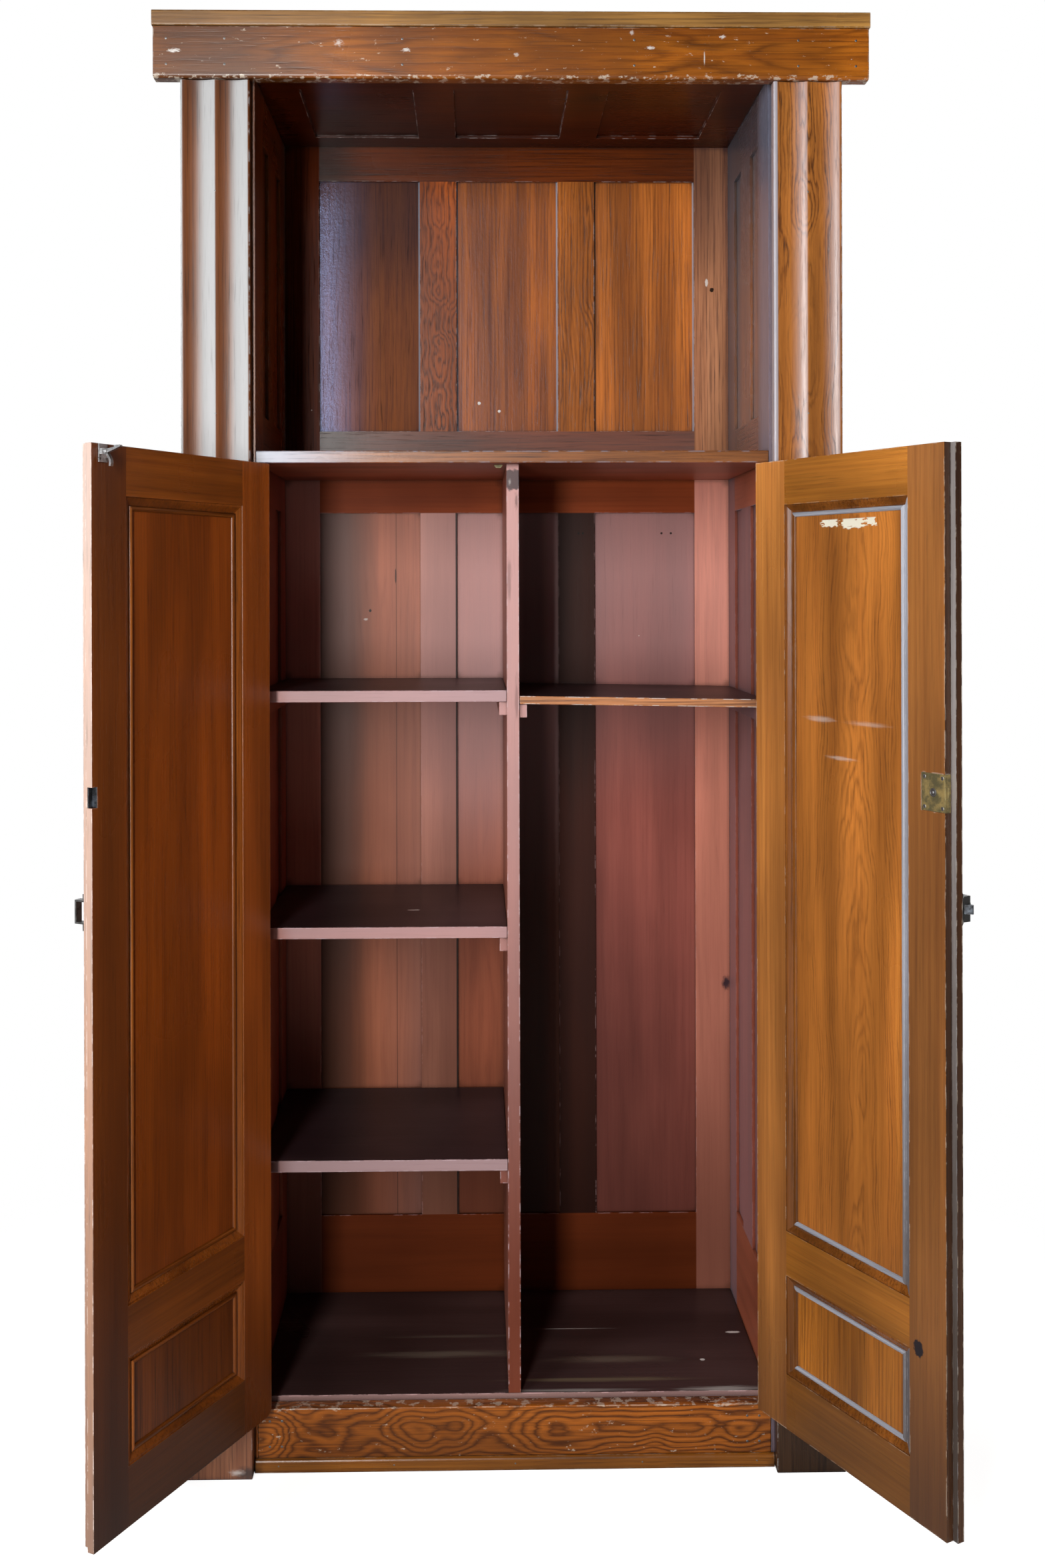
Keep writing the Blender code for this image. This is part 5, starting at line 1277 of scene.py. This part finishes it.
lockHeight = middleOf("lock_case").z
latchHeight = middleOf("latch_case").z
catchHeight = middleOf("catch_bracket").z
screwSetup = {
    "hinge": {"spread": 0.026, "deep": 0.0145, "radius": 0.0032, "leafFace": 0.00075},
    "lock": {"alongs": (0.3827, 0.4178), "rises": (-0.0215, 0.0215), "face": 0.0285, "radius": 0.0030},
    "latch": {"alongs": (0.4083,), "rises": (-0.0245, 0.0245), "face": 0.0012, "radius": 0.0034},
    "keeper": {"alongs": (0.4072,), "rises": (-0.0215, 0.0215), "face": 0.0017, "radius": 0.0029},
    "catch": {"alongs": (0.3945, 0.4070), "rises": (-0.0083,), "face": 0.0303, "radius": 0.0021},
    "catchStrike": {"back": 0.0045, "face": 0.0015, "radius": 0.0022},
    "escutcheon": {"alongs": (doorPoint("right", middleOf("key_escutcheon"))[0],), "rises": (-0.0155, 0.0155),
                   "face": 0.0027, "radius": 0.0014},
}


def hingeScrews(side):
    # Three screws in each leaf, first in the door's leaves and then in the cabinet's
    spec = screwSetup["hinge"]
    hand, pin = doors[side]["hand"], doors[side]["pin"]
    moving, fixed = [], []
    for row in ("upper", "lower"):
        middle = middleOf(f"{side}_{row}_hinge_jamb_leaf").z
        for z in (middle - spec["spread"], middle, middle + spec["spread"]):
            leaf = doorSpot(side, spec["leafFace"], spec["deep"], z)
            moving.append((leaf, -doorWidth(side), spec["radius"]))
            jamb = Vector((pin.x - hand * spec["leafFace"], pin.y + spec["deep"], z))
            fixed.append((jamb, Vector((hand, 0, 0)), spec["radius"]))
    return moving, fixed


def doorScrews(side, name, height, facing):
    spec = screwSetup[name]
    return [(doorSpot(side, along, spec["face"], height + rise), facing, spec["radius"])
            for along in spec["alongs"] for rise in spec["rises"]]


leftScrews, leftJambScrews = hingeScrews("left")
rightScrews, rightJambScrews = hingeScrews("right")
leftIn, rightIn = doorDepth("left"), doorDepth("right")
leftScrews += doorScrews("left", "keeper", latchHeight, -leftIn)
leftScrews += doorScrews("left", "catch", catchHeight, leftIn)
rightScrews += doorScrews("right", "lock", lockHeight, rightIn)
rightScrews += doorScrews("right", "latch", latchHeight, -rightIn)
spec = screwSetup["catchStrike"]
strike = middleOf("catch_strike")
strike = Vector((strike.x, strike.y + spec["back"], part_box("catch_strike")[1].z - spec["face"]))
cabinetScrews = leftJambScrews + rightJambScrews + [(strike, Vector((0, 0, -1)), spec["radius"])]
fasten("left_door_screws", "left_door", "screw", "iron", leftScrews)
fasten("right_door_screws", "right_door", "screw", "iron", rightScrews)
fasten("cabinet_screws", "cabinet", "screw", "iron", cabinetScrews)
pins = doorScrews("right", "escutcheon", lockHeight, -rightIn)
fasten("right_door_pins", "right_door", "nail", "brass", pins)

nailSetup = {
    "frieze": {"xs": (-0.565, -0.47, -0.18, 0.20, 0.47, 0.565), "rises": (0.022, 0.064), "radius": 0.0020},
    "casing": {"count": 6, "radius": 0.0014},
    "baseRail": {"xs": (-0.405, -0.385, 0.385, 0.405), "rises": (0.040, 0.082), "radius": 0.0020},
    "shoe": {"xs": (-0.39, -0.20, 0.0, 0.21, 0.40), "rises": (0.011,), "radius": 0.0014},
    "back": {"count": 11, "inset": 0.012, "radius": 0.0026},
}
ahead, behind = Vector((0, -1, 0)), Vector((0, 1, 0))


def nailRow(x, y, low, high, facing, spec):
    # Nails evenly spaced from low to high
    heights = [low + (high - low) * (step + 0.5) / spec["count"] for step in range(spec["count"])]
    return [(Vector((x, y, z)), facing, spec["radius"]) for z in heights]


nails = []
for name, node in (("frieze", "frieze_board"), ("baseRail", "base_rail"), ("shoe", "base_shoe")):
    spec = nailSetup[name]
    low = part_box(node)[0]
    nails += [(Vector((x, low.y, low.z + rise)), ahead, spec["radius"])
              for x in spec["xs"] for rise in spec["rises"]]
for side in doors:
    low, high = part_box(f"{side}_casing")
    nails += nailRow((low.x + high.x) / 2, low.y, low.z, high.z, ahead, nailSetup["casing"])
spec = nailSetup["back"]
low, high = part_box("back_frame")
for x in (low.x + spec["inset"], high.x - spec["inset"]):
    nails += nailRow(x, high.y, low.z, high.z, behind, spec)
fasten("cabinet_nails", "cabinet", "nail", "iron", nails)
print("screws and nails set")


# The lock's key pin in its ring, on the inner face of the right door

lockPinSetup = {
    "ring": ((0.0062, -0.0004), (0.0062, 0.0008), (0.0052, 0.0011), (0.0046, 0.0003)),
    "pin": ((0.0020, 0.0003), (0.0020, 0.0014), (0.0012, 0.0019), (0.0, 0.0019)),
    "steps": 24, "merge": 1e-6, "crease": 40.0,
    "pinReach": 0.0021,      # a face nearer the middle than this is the pin's
}


def makeLockPin():
    along = doorPoint("right", middleOf("lock_case"))[0]
    face = doorSpot("right", along, screwSetup["lock"]["face"], lockHeight)
    out, sideways = doorDepth("right"), doorWidth("right")
    bm = bmesh.new()
    profile = lockPinSetup["ring"] + lockPinSetup["pin"]
    points = [bm.verts.new(face + sideways * radius + out * height) for radius, height in profile]
    line = [bm.edges.new(pair) for pair in zip(points, points[1:])]
    steps = lockPinSetup["steps"]
    bmesh.ops.spin(bm, geom=points + line, cent=face, axis=out, angle=2 * math.pi, steps=steps)
    bmesh.ops.remove_doubles(bm, verts=bm.verts, dist=lockPinSetup["merge"])
    rim = [edge for edge in bm.edges if edge.is_boundary]
    bmesh.ops.contextual_create(bm, geom=rim)
    bmesh.ops.recalc_face_normals(bm, faces=bm.faces)
    for shape in bm.faces:
        away = (shape.calc_center_median() - face).cross(out).length
        shape.material_index = 1 if away < lockPinSetup["pinReach"] else 0
    piece = pieceOf(bm, "lock_key_pin", [metalLooks["iron"], metalLooks["steel"]], lockPinSetup["crease"])
    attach(piece, "right_door")


makeLockPin()
print("lock pin made")
